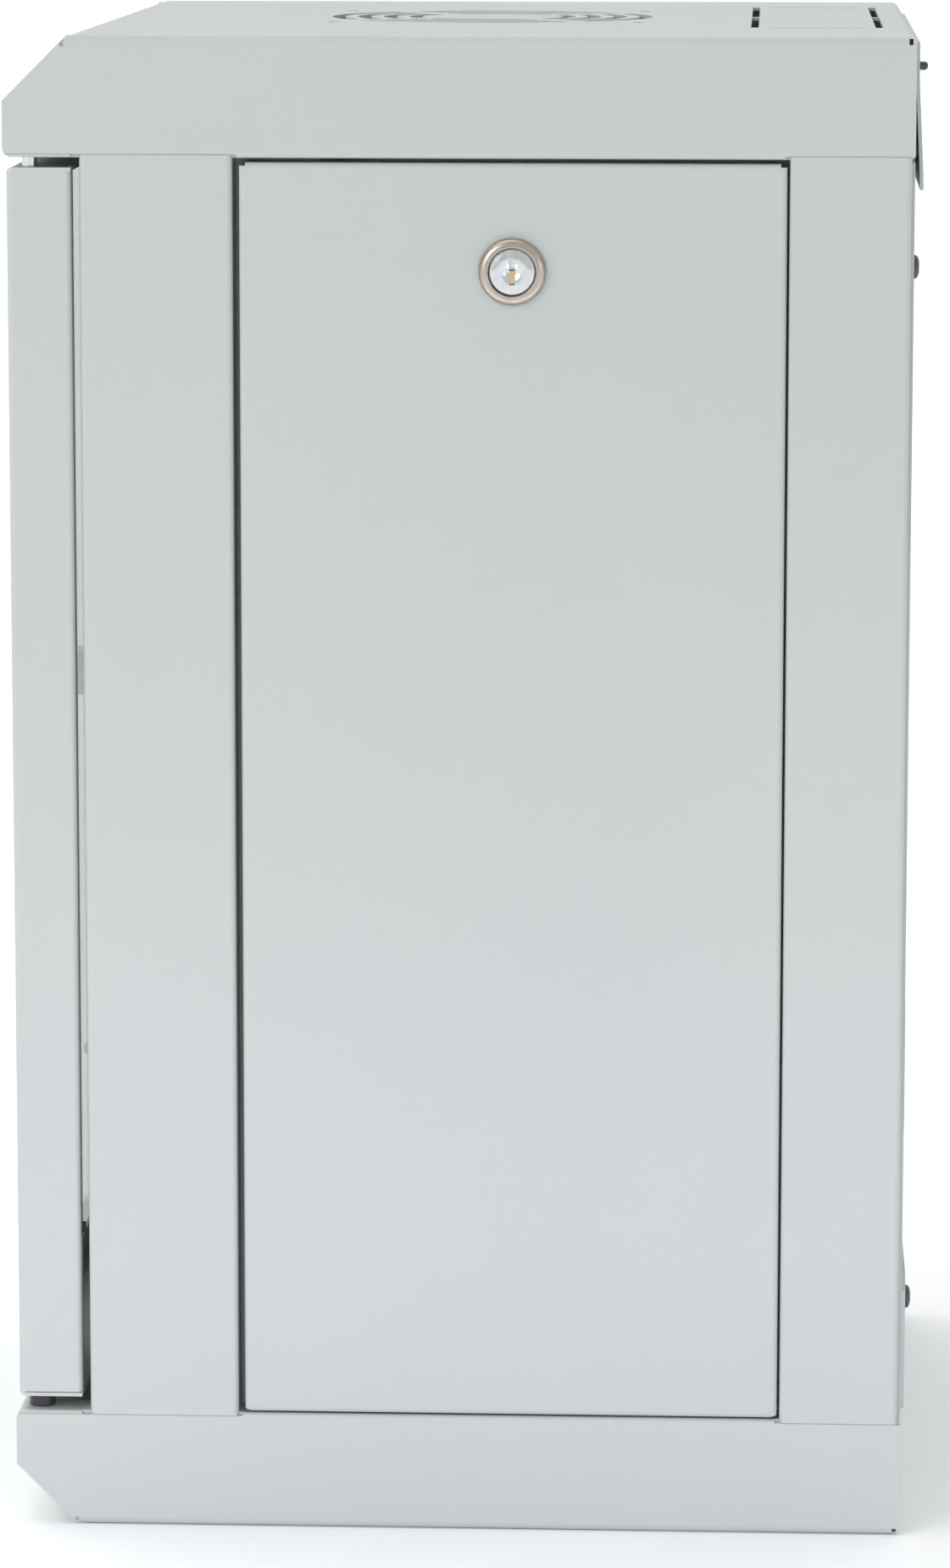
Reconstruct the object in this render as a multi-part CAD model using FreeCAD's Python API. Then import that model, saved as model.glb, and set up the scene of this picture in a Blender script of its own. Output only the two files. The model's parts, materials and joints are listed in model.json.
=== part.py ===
import FreeCAD, Part

import math
import os

# A ten-inch wall mount network cabinet, nine units high, in bent sheet steel.
# X is the width, Y the depth with the door at the front (-Y), Z up. The origin is the
# middle of the base plate's underside. Everything is in millimetres.

# Cabinet body
WIDTH = 312.0
DEPTH = 300.0
HEIGHT = 505.0
SHEET = 1.2
BEND = 0.6                  # inside radius of every fold
CAP_FLANGE = 40.7
BASE_FLANGE = 39.8
CAP_CHAMFER = 22.2
BASE_CHAMFER = 21.0
SLOPE_RECESS = 0.8          # the sloping plate lies inside the side flange's cut edge
PLATE_BEND = 3.0            # outside radius where the plate turns down to its flanges
SLOPE_BEND = 6.0            # outside radius of the two folds of the slope
LIP_BEND = 1.6              # outside radius where a side or rear flange turns to its lip
FRONT_LIP_BEND = 3.0        # the same along the front
TIGHT_BEND = 0.3            # the smallest inside radius
SIDE_LIP = 14.0
FRONT_LIP = 20.0
REAR_LIP = 12.0
RELIEF_WIDTH = 1.3          # of the relief notches at the folded corners
CAP_RELIEF_HEIGHT = 2.0
BASE_RELIEF_HEIGHT = 1.2
CAP_RELIEF_BACK = 2.2       # from the slope's fold down the slope to its notch
BASE_RELIEF_BACK = 0.6

# Corner posts
DOOR_POST_GAP = 2.9         # between the closed door and the front posts
FRONT_POST_WIDTH = 50.4
REAR_POST_WIDTH = 39.8
POST_FRONT_FLANGE = 13.0
POST_REAR_FLANGE = 30.0
SEAT_DEPTH = 13.2           # how far the side panel's seat lies inside the side face
SEAT_WIDTH = 12.0
POST_TUCK = 1.1             # how far a post's face runs into the notches of the cap and base
NOTCH_END = 1.5             # of such a notch past the post's back edge

# Side panels
PANEL_FRONT_GAP = 2.3
PANEL_REAR_GAP = 0.8
PANEL_TOP_GAP = 1.4
PANEL_BOTTOM_GAP = 0.6
PANEL_DEPTH = 12.9
PANEL_TONGUE = 26.0
PANEL_NOTCH_W = 2.1         # the relief at the panel's upper corners
PANEL_NOTCH_H = 1.1
PANEL_WEDGE_W = 2.8         # the tapered relief at its lower corners

# Cam locks
LOCK_RING_LAP = 1.75        # of the ring past the barrel
LOCK_RING_H = 3.0
LOCK_RING_FACE = 0.8        # width of the ring's flat front
LOCK_RING_EDGE = 0.7        # height of its straight edge
LOCK_RING_SHOULDER = 2.45   # height of its rounding half way in
LOCK_BARREL_R = 9.4
LOCK_PLUG_R = 7.75
LOCK_PLUG_SUNK = 0.45       # behind the ring's face
LOCK_PLUG_CHAMFER = 0.5
LOCK_FIT = 0.06
LOCK_NUT_WALL = 2.6         # of the nut at its flats
LOCK_NUT_H = 4.0
KEY_FUNNEL_R = 2.75
KEY_FUNNEL_R1 = 1.15
KEY_FUNNEL_H = 1.0
KEY_SLOT_W = 1.9
KEY_SLOT_H = 8.4
KEY_SLOT_DEPTH = 6.0
CAM_THICK = 2.5
CAM_WIDTH = 14.0
CAM_TIP = 4.0               # the cut corners of its tip
CAM_CORNER = 2.0
CAM_FLAT = 1.0              # the straight run across its round end
CAM_SQUARE = 7.0
CAM_LAP = 5.2               # how far a locked cam reaches past the edge it holds
DOOR_CAM_EXTRA = 2.0        # the door's cam reaches this much further
CAM_GAP = 0.3
CAM_WASHER_R = 6.0
CAM_WASHER_H = 1.0
CAM_SCREW_AF = 8.0
CAM_SCREW_H = 3.2
SIDE_LOCK_DROP = 35.5       # below the panel's upper edge
DOOR_LOCK_INSET = 24.0      # from the door's free edge

# Door
DOOR_SIDE_GAP = 1.0
DOOR_TOP_GAP = 3.4
DOOR_BOTTOM_GAP = 4.8
DOOR_RECESS = 1.0           # the door's face behind the cabinet's front plane
DOOR_DEPTH = 21.4
DOOR_BEND = 2.0
DOOR_LIP = 7.0              # folded in along the back of the door's sides
DOOR_SEAM = 0.3             # the open seam at the lower corners
BUFFER_FROM_BOTTOM = 56.0
BUFFER_HEIGHT = 3.4
BUFFER_WIDTH = 3.0
BUFFER_THICK = 1.1
WINDOW_SIDE = 57.0          # steel border beside the window
WINDOW_END = 12.0           # steel border above and below it
WINDOW_CORNER = 4.0
GLASS_CORNER = 5.0
GASKET_CORNER = 3.0         # of its opening
GLASS_LAP = 8.0
GLASS_THICK = 3.5
GASKET_THICK = 1.0
GASKET_WIDTH = 6.0
RETAINER_LAP = 6.0
RETAINER_FOOT = 7.0
RETAINER_STOP = 2.0         # short of the glass's ends
RETAINER_NUT_AF = 5.5
RETAINER_NUT_H = 2.4
STUD_R = 1.5
STUD_H = 6.0
STUD_SETBACK = 21.0         # from the glass's end to a stud

# Hinge
HINGE_INSET = 8.0           # of the hinge axis from the door's side
HINGE_SETBACK = 8.0         # from the cabinet's front plane to the hinge axis
PIN_R = 2.5
PIN_FIT = 0.06
PIN_REACH = 5.0             # of the sprung pin above the cap's lip
PIN_LENGTH = 42.0
PIN_COLLAR_R = 3.6
PIN_COLLAR_H = 1.5
PIN_HANDLE = 14.0
PIN_ELBOW = 4.5             # bend radius of its handle, at the middle of the rod
PIN_SHELF = 6.0             # how far the bracket's shelf runs past the pin
PIN_BRACKET_H = 16.0
PIN_BRACKET_DEPTH = 14.0
SPRING_R = 3.1
SPRING_WIRE = 0.4           # half the wire's width
SPRING_TURNS = 4
PIVOT_HEAD_R = 4.0
PIVOT_HEAD_H = 1.5
BUSH_R = 4.35
BUSH_SHANK_R = 3.6
BUSH_TAIL = 2.0
RUNNING_GAP = 0.3

# Ten-inch rails
UNIT = 44.45
HOLE_RISES = (6.35, 22.225, 38.1)       # of the three holes in each unit
RAIL_HOLE_SPACING = 236.525
RAIL_CLEAR = 222.25
RAIL_HOLE = 9.5
RAIL_SETBACK = 58.0         # from the cabinet's front plane
RAIL_RETURN = 26.0
RAIL_WIDTH = 18.3
RAIL_THICK = 1.5
RAIL_OVERRUN = 4.0          # past the nine units, above and below
CARRIER_WEB = 30.0
CARRIER_LIP = 12.0
CARRIER_FROM_CAP = 58.0
CARRIER_FROM_BASE = 20.0
CARRIER_FRONT = 38.0        # from the cabinet's front plane
CARRIER_REAR = 34.0         # from the cabinet's rear plane
CARRIER_SLOT = 30.0

# Rear
REAR_PANEL_SIDE = 5.0       # from the cabinet's side plane
REAR_PANEL_GAP = 1.2
SCREW_R = 2.5
SCREW_HEAD_R = 3.95
SCREW_HEAD_H = 1.9
SCREW_NUT_AF = 8.0
SCREW_NUT_H = 4.0
SCREW_LENGTH = 9.0
SCREW_INSET = 15.0          # from the cabinet's side plane
REAR_SCREW_FROM_CAP = 35.8
REAR_SCREW_FROM_BASE = 39.9
ENTRY_WIDTH = 170.0
ENTRY_HEIGHT = 48.0
ENTRY_FROM_BASE = 84.0
ENTRY_CORNER = 8.0
TRIM_WALL = 1.5
TRIM_LIP = 4.0

# Wall brackets
HOOK_WIDTH = 262.0
HOOK_TOP = 3.3              # below the cap's plate
HOOK_HEIGHT = 48.9
HOOK_THICK = 1.2
HOOK_STRAIGHT = 12.5        # from its top to where it starts to lean out
HOOK_FLARE = 1.8
HOOK_CHAMFER = 6.0
HOOK_BOLT_DROP = 11.9
HOOK_BOLT_R = 1.5
HOOK_BOLT_HEAD_R = 3.0
HOOK_BOLT_HEAD_H = 1.8
HOOK_BOLT_SPACING = 220.0
HOOK_BOLT_TAIL = 3.2
SPACER_R = 4.0
SPACER_THICK = 0.4
FOOT_PLATE_HEIGHT = 46.1
FOOT_PLATE_GAP = 3.2
FOOT_PLATE_CHAMFER = 5.1
FOOT_PLATE_CORNER = 1.5
WALL_HOLE_R = 3.5
WALL_HOLE_SPACING = 180.0
WALL_HOLE_RISE = 14.0

# Cap openings
FAN_Y = 4.4
FAN_RINGS = 4
FAN_FIRST_R = 27.0
FAN_PITCH = 9.0
FAN_SLOT = 4.6
FAN_WEB = 8.0
FAN_WEB_ANGLE = 35.0
FAN_HOLE_SPACING = 105.0
FAN_HOLE_R = 2.15
KNOCKOUT_LENGTH = 190.0
KNOCKOUT_DEPTH = 41.9
KNOCKOUT_FROM_REAR = 11.2
KNOCKOUT_SLOT = 2.6
KNOCKOUT_BRIDGE = 3.0
KNOCKOUT_CORNER = 5.0

# Earth stud
EARTH_R = 3.0
EARTH_H = 18.0
EARTH_INSET = 38.0          # from the cabinet's side and rear planes
EARTH_NUT_AF = 10.0
EARTH_NUT_H = 5.0

# Planes that several pieces share
SIDE = WIDTH / 2
FRONT = -DEPTH / 2
REAR = DEPTH / 2
CAP_Z = HEIGHT - CAP_FLANGE
BASE_Z = BASE_FLANGE
DOOR_SIDE = SIDE - DOOR_SIDE_GAP
DOOR_Y = FRONT + DOOR_RECESS
DOOR_BACK = DOOR_Y + DOOR_DEPTH
DOOR_Z0 = BASE_Z + DOOR_BOTTOM_GAP
DOOR_Z1 = CAP_Z - DOOR_TOP_GAP
POST_FRONT = DOOR_BACK + DOOR_POST_GAP
POST_BACK = POST_FRONT + FRONT_POST_WIDTH
REAR_FLANGE_Y = REAR - SHEET
REAR_POST_FRONT = REAR_FLANGE_Y - REAR_POST_WIDTH
SEAT_X = SIDE - SEAT_DEPTH
PANEL_Y0 = POST_BACK + PANEL_FRONT_GAP
PANEL_Y1 = REAR_POST_FRONT - PANEL_REAR_GAP
PANEL_Z0 = BASE_Z + PANEL_BOTTOM_GAP
PANEL_Z1 = CAP_Z - PANEL_TOP_GAP
HINGE_X = DOOR_SIDE - HINGE_INSET
HINGE_Y = FRONT + HINGE_SETBACK
WINDOW_X = DOOR_SIDE - WINDOW_SIDE
WINDOW_Z0 = DOOR_Z0 + WINDOW_END
WINDOW_Z1 = DOOR_Z1 - WINDOW_END
GLASS_X = WINDOW_X + GLASS_LAP
GLASS_Z0 = WINDOW_Z0 - GLASS_LAP
GLASS_Z1 = WINDOW_Z1 + GLASS_LAP
GLASS_Y = DOOR_Y + SHEET + GASKET_THICK
RETAINER_X = GLASS_X + BEND + SHEET      # the outside of the retainer's step
LOCK_RING_R = LOCK_BARREL_R + LOCK_RING_LAP
LOCK_NUT_AF = 2 * (LOCK_BARREL_R + LOCK_NUT_WALL)
DOOR_LOCK_X = -DOOR_SIDE + DOOR_LOCK_INSET
DOOR_LOCK_Z = (DOOR_Z0 + DOOR_Z1) / 2
SIDE_LOCK_Y = (PANEL_Y0 + PANEL_Y1) / 2
SIDE_LOCK_Z = PANEL_Z1 - SIDE_LOCK_DROP
CARRIER_X = RAIL_CLEAR / 2 + RAIL_WIDTH
RAIL_Y = FRONT + RAIL_SETBACK
UNITS = int((CAP_Z - BASE_Z) // UNIT)   # as many as fit
RAIL_Z0 = (BASE_Z + CAP_Z - UNITS * UNIT) / 2
LONG = 2 * (WIDTH + DEPTH + HEIGHT)     # longer than any cut

V = FreeCAD.Vector
X_AXIS, Y_AXIS, Z_AXIS = V(1, 0, 0), V(0, 1, 0), V(0, 0, 1)


def box(x0, x1, y0, y1, z0, z1):
    """A box between two corners."""
    return Part.makeBox(x1 - x0, y1 - y0, z1 - z0, V(x0, y0, z0))


def rod(start, axis, radius, length):
    """A round bar from a point along an axis."""
    return Part.makeCylinder(radius, length, start, axis)


def ring(start, axis, radius, bore, length):
    """A round tube from a point along an axis."""
    return rod(start, axis, radius, length).cut(rod(start, axis, bore, length))


def xy(z):
    """A plane at height z: (u, v) becomes (x, y)."""
    return lambda u, v: V(u, v, z)


def xz(y):
    """A plane at depth y: (u, v) becomes (x, z)."""
    return lambda u, v: V(u, y, v)


def yz(x):
    """A plane at width x: (u, v) becomes (y, z)."""
    return lambda u, v: V(x, u, v)


def chain(points, radii, plane):
    """The edges of an open line of straight runs, rounded at each inner corner."""
    corners = [plane(u, v) for u, v in points]
    edges = []
    start = corners[0]
    for before, corner, after, radius in zip(corners, corners[1:], corners[2:], radii):
        back = (before - corner).normalize()
        ahead = (after - corner).normalize()
        half = back.getAngle(ahead) / 2
        setback = radius / math.tan(half)
        first = corner + back * setback
        last = corner + ahead * setback
        middle = corner + (back + ahead).normalize() * (radius / math.sin(half) - radius)
        edges.append(Part.makeLine(start, first))
        edges.append(Part.Arc(first, middle, last).toShape())
        start = last
    edges.append(Part.makeLine(start, corners[-1]))
    return edges


def offset_left(points, distance):
    """An open line of points moved to its left."""
    normals = []
    for (u0, v0), (u1, v1) in zip(points, points[1:]):
        length = math.hypot(u1 - u0, v1 - v0)
        normals.append(((v0 - v1) / length, (u1 - u0) / length))
    moved = []
    for i, (u, v) in enumerate(points):
        a = normals[max(i - 1, 0)]
        b = normals[min(i, len(normals) - 1)]
        scale = distance / (1 + a[0] * b[0] + a[1] * b[1])
        moved.append((u + (a[0] + b[0]) * scale, v + (a[1] + b[1]) * scale))
    return moved


def turns_left(points):
    """For each inner corner of a line, whether it turns left."""
    flags = []
    for (u0, v0), (u1, v1), (u2, v2) in zip(points, points[1:], points[2:]):
        flags.append((u1 - u0) * (v2 - v1) - (v1 - v0) * (u2 - u1) > 0)
    return flags


def folded(points, plane, length, thick=SHEET, bend=BEND):
    """A folded strip: its outer face follows the points, with the sheet on their left."""
    inner = offset_left(points, thick)
    left = turns_left(points)
    outer_radii = [bend + thick if turn else bend for turn in left]
    inner_radii = [bend if turn else bend + thick for turn in left]
    edges = chain(points, outer_radii, plane)
    back = chain(inner[::-1], inner_radii[::-1], plane)
    edges.append(Part.makeLine(plane(*points[-1]), plane(*inner[-1])))
    edges += back
    edges.append(Part.makeLine(plane(*inner[0]), plane(*points[0])))
    return Part.Face(Part.Wire(Part.__sortEdges__(edges))).extrude(length)


def prism(points, radii, plane, length):
    """A solid from a closed outline whose corners have the given radii; 0 keeps one sharp."""
    corners = [plane(u, v) for u, v in points]
    count = len(corners)
    ends = []
    for i, radius in enumerate(radii):
        corner = corners[i]
        back = (corners[i - 1] - corner).normalize()
        ahead = (corners[(i + 1) % count] - corner).normalize()
        half = back.getAngle(ahead) / 2
        setback = radius / math.tan(half)
        middle = corner + (back + ahead).normalize() * (radius / math.sin(half) - radius)
        ends.append((corner + back * setback, middle, corner + ahead * setback))
    edges = []
    for i, (first, middle, last) in enumerate(ends):
        if radii[i] > 0:
            edges.append(Part.Arc(first, middle, last).toShape())
        following = ends[(i + 1) % count][0]
        edges.append(Part.makeLine(last, following))
    return Part.Face(Part.Wire(Part.__sortEdges__(edges))).extrude(length)


def rounded_plate(x0, x1, z0, z1, y0, y1, corner):
    """A flat plate facing Y with rounded corners."""
    points = [(x0, z0), (x1, z0), (x1, z1), (x0, z1)]
    return prism(points, [corner] * 4, xz(y0), V(0, y1 - y0, 0))


def hexagon(start, axis, across_flats, length):
    """A hexagonal bar from a point along an axis."""
    bar = Part.Face(Part.makePolygon([V(math.cos(a), math.sin(a), 0) * (across_flats / math.sqrt(3))
                                      for a in [math.radians(60 * i) for i in range(7)]]))
    bar = bar.extrude(V(0, 0, length))
    bar.Placement = FreeCAD.Placement(start, FreeCAD.Rotation(Z_AXIS, axis))
    return bar


def nut(start, axis, across_flats, height, bore):
    """A hexagon nut."""
    return hexagon(start, axis, across_flats, height).cut(rod(start, axis, bore, height))


def pan_screw(face, axis, radius, head_r, head_h, length):
    """A pan-head screw seated at a face, its head standing out along the axis."""
    head = Part.makeCone(head_r, head_r - head_h / 2, head_h, face, axis)
    return head.fuse(rod(face - axis * length, axis, radius, length))


def rim_edge(shape, centre):
    """The circular edge of a shape around a point."""
    for edge in shape.Edges:
        if hasattr(edge.Curve, "Center") and (edge.Curve.Center - centre).Length < 1e-6:
            return edge
    raise ValueError("no round edge there")


def mirrored_x(shape):
    """The same piece on the other side of the cabinet."""
    return shape.mirror(V(0, 0, 0), X_AXIS)


# ---------------------------------------------------------------- cap and base

def side_outline(flange, chamfer, recess, inset):
    """The tray's outline seen from the side, moved in by inset; the slope also by recess."""
    slope = recess + inset
    shift = slope * math.sqrt(2) - inset
    low = inset
    front = FRONT + inset
    rear = REAR - inset
    top = flange - inset
    return [(front, top), (front, chamfer + shift), (FRONT + chamfer + shift, low), (rear, low), (rear, top)]


def post_notches(flange):
    """The cuts in a tray's side flanges where the posts' faces run into them."""
    cuts = []
    for y0, y1 in ((DOOR_BACK, POST_BACK + NOTCH_END), (REAR_POST_FRONT - NOTCH_END, REAR + SHEET)):
        cuts.append(box(SIDE - LIP_BEND, SIDE + SHEET, y0, y1, flange - POST_TUCK, flange + SHEET))
    return cuts + [mirrored_x(cut) for cut in cuts]


def tray(flange, chamfer, relief_back, relief_height):
    """An open tray with its plate at the bottom, folded up, with a lip folded inwards."""
    inner_radius = max(PLATE_BEND - SHEET, TIGHT_BEND)
    slope_inner = max(SLOPE_BEND - SHEET, TIGHT_BEND)
    lip_inner = max(LIP_BEND - SHEET, TIGHT_BEND)
    front_inner = max(FRONT_LIP_BEND - SHEET, TIGHT_BEND)
    across = V(WIDTH, 0, 0)
    along = V(0, DEPTH, 0)
    middle = prism(side_outline(flange, chamfer, SLOPE_RECESS, 0),
                   [FRONT_LIP_BEND, SLOPE_BEND, SLOPE_BEND, PLATE_BEND, LIP_BEND], yz(-SIDE), across)
    cheeks = prism(side_outline(flange, chamfer, 0, 0),
                   [FRONT_LIP_BEND, 0, 0, PLATE_BEND, LIP_BEND], yz(-SIDE), across)
    section = prism([(-SIDE, flange), (-SIDE, 0), (SIDE, 0), (SIDE, flange)],
                    [LIP_BEND, PLATE_BEND, PLATE_BEND, LIP_BEND], xz(FRONT), along)
    inner_side = SIDE - SHEET
    cheeks = cheeks.cut(box(-inner_side, inner_side, -DEPTH, DEPTH, -HEIGHT, HEIGHT))
    outer = middle.fuse(cheeks).common(section)
    hollow = prism(side_outline(flange, chamfer, SLOPE_RECESS, SHEET),
                   [front_inner, slope_inner, slope_inner, inner_radius, lip_inner], yz(-inner_side),
                   V(2 * inner_side, 0, 0))
    hollow = hollow.common(prism(
        [(-inner_side, flange - SHEET), (-inner_side, SHEET), (inner_side, SHEET), (inner_side, flange - SHEET)],
        [lip_inner, inner_radius, inner_radius, lip_inner], xz(FRONT), along))
    shell = outer.cut(hollow)
    mouth = box(-SIDE + SIDE_LIP, SIDE - SIDE_LIP, FRONT + FRONT_LIP, REAR - REAR_LIP,
                flange - 2 * SHEET, flange + SHEET)
    shell = shell.cut(mouth)
    half = RELIEF_WIDTH / 2
    for y, z in ((FRONT + chamfer - relief_back, SHEET + relief_back / 2), (REAR - SHEET - half, SHEET)):
        shell = shell.cut(box(-LONG / 2, LONG / 2, y - half, y + half, z, z + relief_height))
    return shell.cut(Part.makeCompound(post_notches(flange)))


def arc_slot(centre, radius, width, middle_angle, sweep, depth):
    """A slot along part of a circle, with ends cut across it."""
    def at(distance, angle):
        return centre + V(math.cos(angle), math.sin(angle), 0) * distance

    inner, outer = radius - width / 2, radius + width / 2
    start, end = middle_angle - sweep / 2, middle_angle + sweep / 2
    edges = [
        Part.Arc(at(outer, start), at(outer, middle_angle), at(outer, end)).toShape(),
        Part.makeLine(at(outer, end), at(inner, end)),
        Part.Arc(at(inner, end), at(inner, middle_angle), at(inner, start)).toShape(),
        Part.makeLine(at(inner, start), at(outer, start)),
    ]
    return Part.Face(Part.Wire(edges)).extrude(V(0, 0, depth))


def fan_grille(z, depth):
    """The cuts of a fan grille: rings of arc slots between four webs."""
    cuts = []
    for ring_number in range(FAN_RINGS):
        radius = FAN_FIRST_R + ring_number * FAN_PITCH
        sweep = math.pi / 2 - FAN_WEB / radius
        for quarter in range(4):
            middle = math.radians(FAN_WEB_ANGLE + 45 + 90 * quarter)
            cuts.append(arc_slot(V(0, FAN_Y, z), radius, FAN_SLOT, middle, sweep, depth))
    half = FAN_HOLE_SPACING / 2
    for x in (-half, half):
        for y in (FAN_Y - half, FAN_Y + half):
            cuts.append(rod(V(x, y, z), Z_AXIS, FAN_HOLE_R, depth))
    return cuts


def knockout(z, depth):
    """The cuts round a cable-entry knock-out, with bridges in the middle and at the corners."""
    y1 = REAR - KNOCKOUT_FROM_REAR
    y0 = y1 - KNOCKOUT_DEPTH
    end = KNOCKOUT_LENGTH / 2
    half = KNOCKOUT_SLOT / 2
    cuts = []
    for y in (y0, y1):
        for x0, x1 in ((-end, -KNOCKOUT_BRIDGE / 2), (KNOCKOUT_BRIDGE / 2, end)):
            cuts.append(box(x0, x1, y - half, y + half, z, z + depth))
    for x in (-end, end):
        cuts.append(box(x - half, x + half, y0 + KNOCKOUT_CORNER, y1 - KNOCKOUT_CORNER, z, z + depth))
    return cuts


def hook_bolt_places():
    """Where the hanging bracket's bolts cross the cap's rear flange."""
    z = HEIGHT - HOOK_BOLT_DROP
    return [V(x, REAR, z) for x in (-HOOK_BOLT_SPACING / 2, HOOK_BOLT_SPACING / 2)]


def top_cap():
    """The cap: the tray turned over, with the fan grille and the cable knock-out."""
    cap = tray(CAP_FLANGE, CAP_CHAMFER, CAP_RELIEF_BACK, CAP_RELIEF_HEIGHT).mirror(V(0, 0, 0), Z_AXIS)
    cap.translate(V(0, 0, HEIGHT))
    z = HEIGHT - 2 * SHEET
    cuts = fan_grille(z, 3 * SHEET) + knockout(z, 3 * SHEET)
    cuts += [rod(place - Y_AXIS * 3 * SHEET, Y_AXIS, HOOK_BOLT_R, 6 * SHEET) for place in hook_bolt_places()]
    cuts.append(rod(V(HINGE_X, HINGE_Y, CAP_Z - SHEET), Z_AXIS, PIN_R + PIN_FIT, 4 * SHEET))
    return cap.cut(Part.makeCompound(cuts))


def base_tray():
    """The base: the tray as it is, with its own cable knock-out and the pivot's hole."""
    base = tray(BASE_FLANGE, BASE_CHAMFER, BASE_RELIEF_BACK, BASE_RELIEF_HEIGHT)
    cuts = knockout(-SHEET, 3 * SHEET)
    cuts.append(rod(V(HINGE_X, HINGE_Y, BASE_Z - 2 * SHEET), Z_AXIS, PIN_R, 4 * SHEET))
    cuts.append(rod(V(SIDE - EARTH_INSET, REAR - EARTH_INSET, -SHEET), Z_AXIS, EARTH_R, 3 * SHEET))
    return base.cut(Part.makeCompound(cuts))


# ---------------------------------------------------------------- posts and rear

def post(points):
    """A right post from its plan; its face runs up and down into the notches of the trays."""
    bar = folded(points, xy(BASE_Z - POST_TUCK), V(0, 0, CAP_Z - BASE_Z + 2 * POST_TUCK))
    shoulder = SIDE - LIP_BEND
    for z0, z1 in ((0, BASE_Z), (CAP_Z, HEIGHT)):
        bar = bar.cut(box(-LONG / 2, shoulder, -DEPTH, DEPTH, z0, z1))
    return bar


def front_post():
    """The right front post: a face between a front flange and the side panel's seat."""
    points = [
        (SIDE - POST_FRONT_FLANGE, POST_FRONT),
        (SIDE, POST_FRONT),
        (SIDE, POST_BACK),
        (SEAT_X, POST_BACK),
        (SEAT_X, POST_BACK + SEAT_WIDTH),
    ]
    return post(points)


def rear_post():
    """The right rear post, with a rear flange that carries the rear panel."""
    points = [
        (SEAT_X, REAR_POST_FRONT - SEAT_WIDTH),
        (SEAT_X, REAR_POST_FRONT),
        (SIDE, REAR_POST_FRONT),
        (SIDE, REAR_FLANGE_Y),
        (SIDE - POST_REAR_FLANGE, REAR_FLANGE_Y),
    ]
    bar = post(points)
    for place in rear_screw_places():
        bar = bar.cut(rod(V(place.x, REAR - 4 * SHEET, place.z), Y_AXIS, SCREW_R, 4 * SHEET))
    return bar


def rear_screw_places():
    """Where the four rear screws cross the rear panel's outer face."""
    x = SIDE - SCREW_INSET
    heights = (BASE_Z + REAR_SCREW_FROM_BASE, CAP_Z - REAR_SCREW_FROM_CAP)
    return [V(side * x, REAR, z) for side in (-1, 1) for z in heights]


def wall_hole_places():
    """Where the two lower wall screws pass."""
    z = BASE_Z + FOOT_PLATE_GAP + WALL_HOLE_RISE
    return [V(x, REAR, z) for x in (-WALL_HOLE_SPACING / 2, WALL_HOLE_SPACING / 2)]


def entry_box(grow):
    """The rear cable entry's rounded cut, grown by a margin."""
    half = ENTRY_WIDTH / 2 + grow
    z0 = BASE_Z + ENTRY_FROM_BASE - grow
    z1 = BASE_Z + ENTRY_FROM_BASE + ENTRY_HEIGHT + grow
    return -half, half, z0, z1


def rear_panel():
    """The flat rear panel with its cable entry and the lower wall holes."""
    x = SIDE - REAR_PANEL_SIDE
    panel = box(-x, x, REAR - SHEET, REAR, BASE_Z + REAR_PANEL_GAP, CAP_Z - REAR_PANEL_GAP)
    x0, x1, z0, z1 = entry_box(0)
    cuts = [rounded_plate(x0, x1, z0, z1, REAR - 2 * SHEET, REAR + SHEET, ENTRY_CORNER)]
    cuts += [rod(p - Y_AXIS * 2 * SHEET, Y_AXIS, SCREW_R, 4 * SHEET) for p in rear_screw_places()]
    cuts += [rod(p - Y_AXIS * 2 * SHEET, Y_AXIS, WALL_HOLE_R, 4 * SHEET) for p in wall_hole_places()]
    return panel.cut(Part.makeCompound(cuts))


def entry_trim():
    """The edging round the cable entry: a channel that grips the panel's edge."""
    x0, x1, z0, z1 = entry_box(0)
    inner = entry_box(-TRIM_WALL)
    outer = entry_box(TRIM_LIP)
    front, back = REAR - SHEET - TRIM_WALL, REAR + TRIM_WALL
    trim = rounded_plate(*outer, front, back, ENTRY_CORNER + TRIM_LIP)
    trim = trim.cut(rounded_plate(*inner, front, back, ENTRY_CORNER - TRIM_WALL))
    groove = rounded_plate(*outer, REAR - SHEET, REAR, ENTRY_CORNER + TRIM_LIP)
    groove = groove.cut(rounded_plate(x0, x1, z0, z1, REAR - SHEET, REAR, ENTRY_CORNER))
    return trim.cut(groove)


def lower_wall_bracket():
    """The flat plate low on the back, its upper corners cut, under the two lower screws."""
    x = SIDE - REAR_PANEL_SIDE
    z0 = BASE_Z + FOOT_PLATE_GAP
    z1 = z0 + FOOT_PLATE_HEIGHT
    c = FOOT_PLATE_CHAMFER
    points = [(-x, z0), (x, z0), (x, z1 - c), (x - c, z1), (-x + c, z1), (-x, z1 - c)]
    r = FOOT_PLATE_CORNER
    plate = prism(points, [r, r, 0, 0, 0, 0], xz(REAR), V(0, SHEET, 0))
    cuts = [rod(p - Y_AXIS * SHEET, Y_AXIS, SCREW_R, 4 * SHEET) for p in rear_screw_places()]
    cuts += [rod(p - Y_AXIS * SHEET, Y_AXIS, WALL_HOLE_R, 4 * SHEET) for p in wall_hole_places()]
    return plate.cut(Part.makeCompound(cuts))


def rear_panel_screws():
    """Four black pan-head screws; the lower two also hold the lower wall bracket."""
    screws = []
    for place in rear_screw_places():
        seat = SHEET if place.z < HEIGHT / 2 else 0.0
        screws.append(pan_screw(place + Y_AXIS * seat, Y_AXIS, SCREW_R, SCREW_HEAD_R, SCREW_HEAD_H,
                                SCREW_LENGTH + seat))
    return Part.makeCompound(screws)


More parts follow.
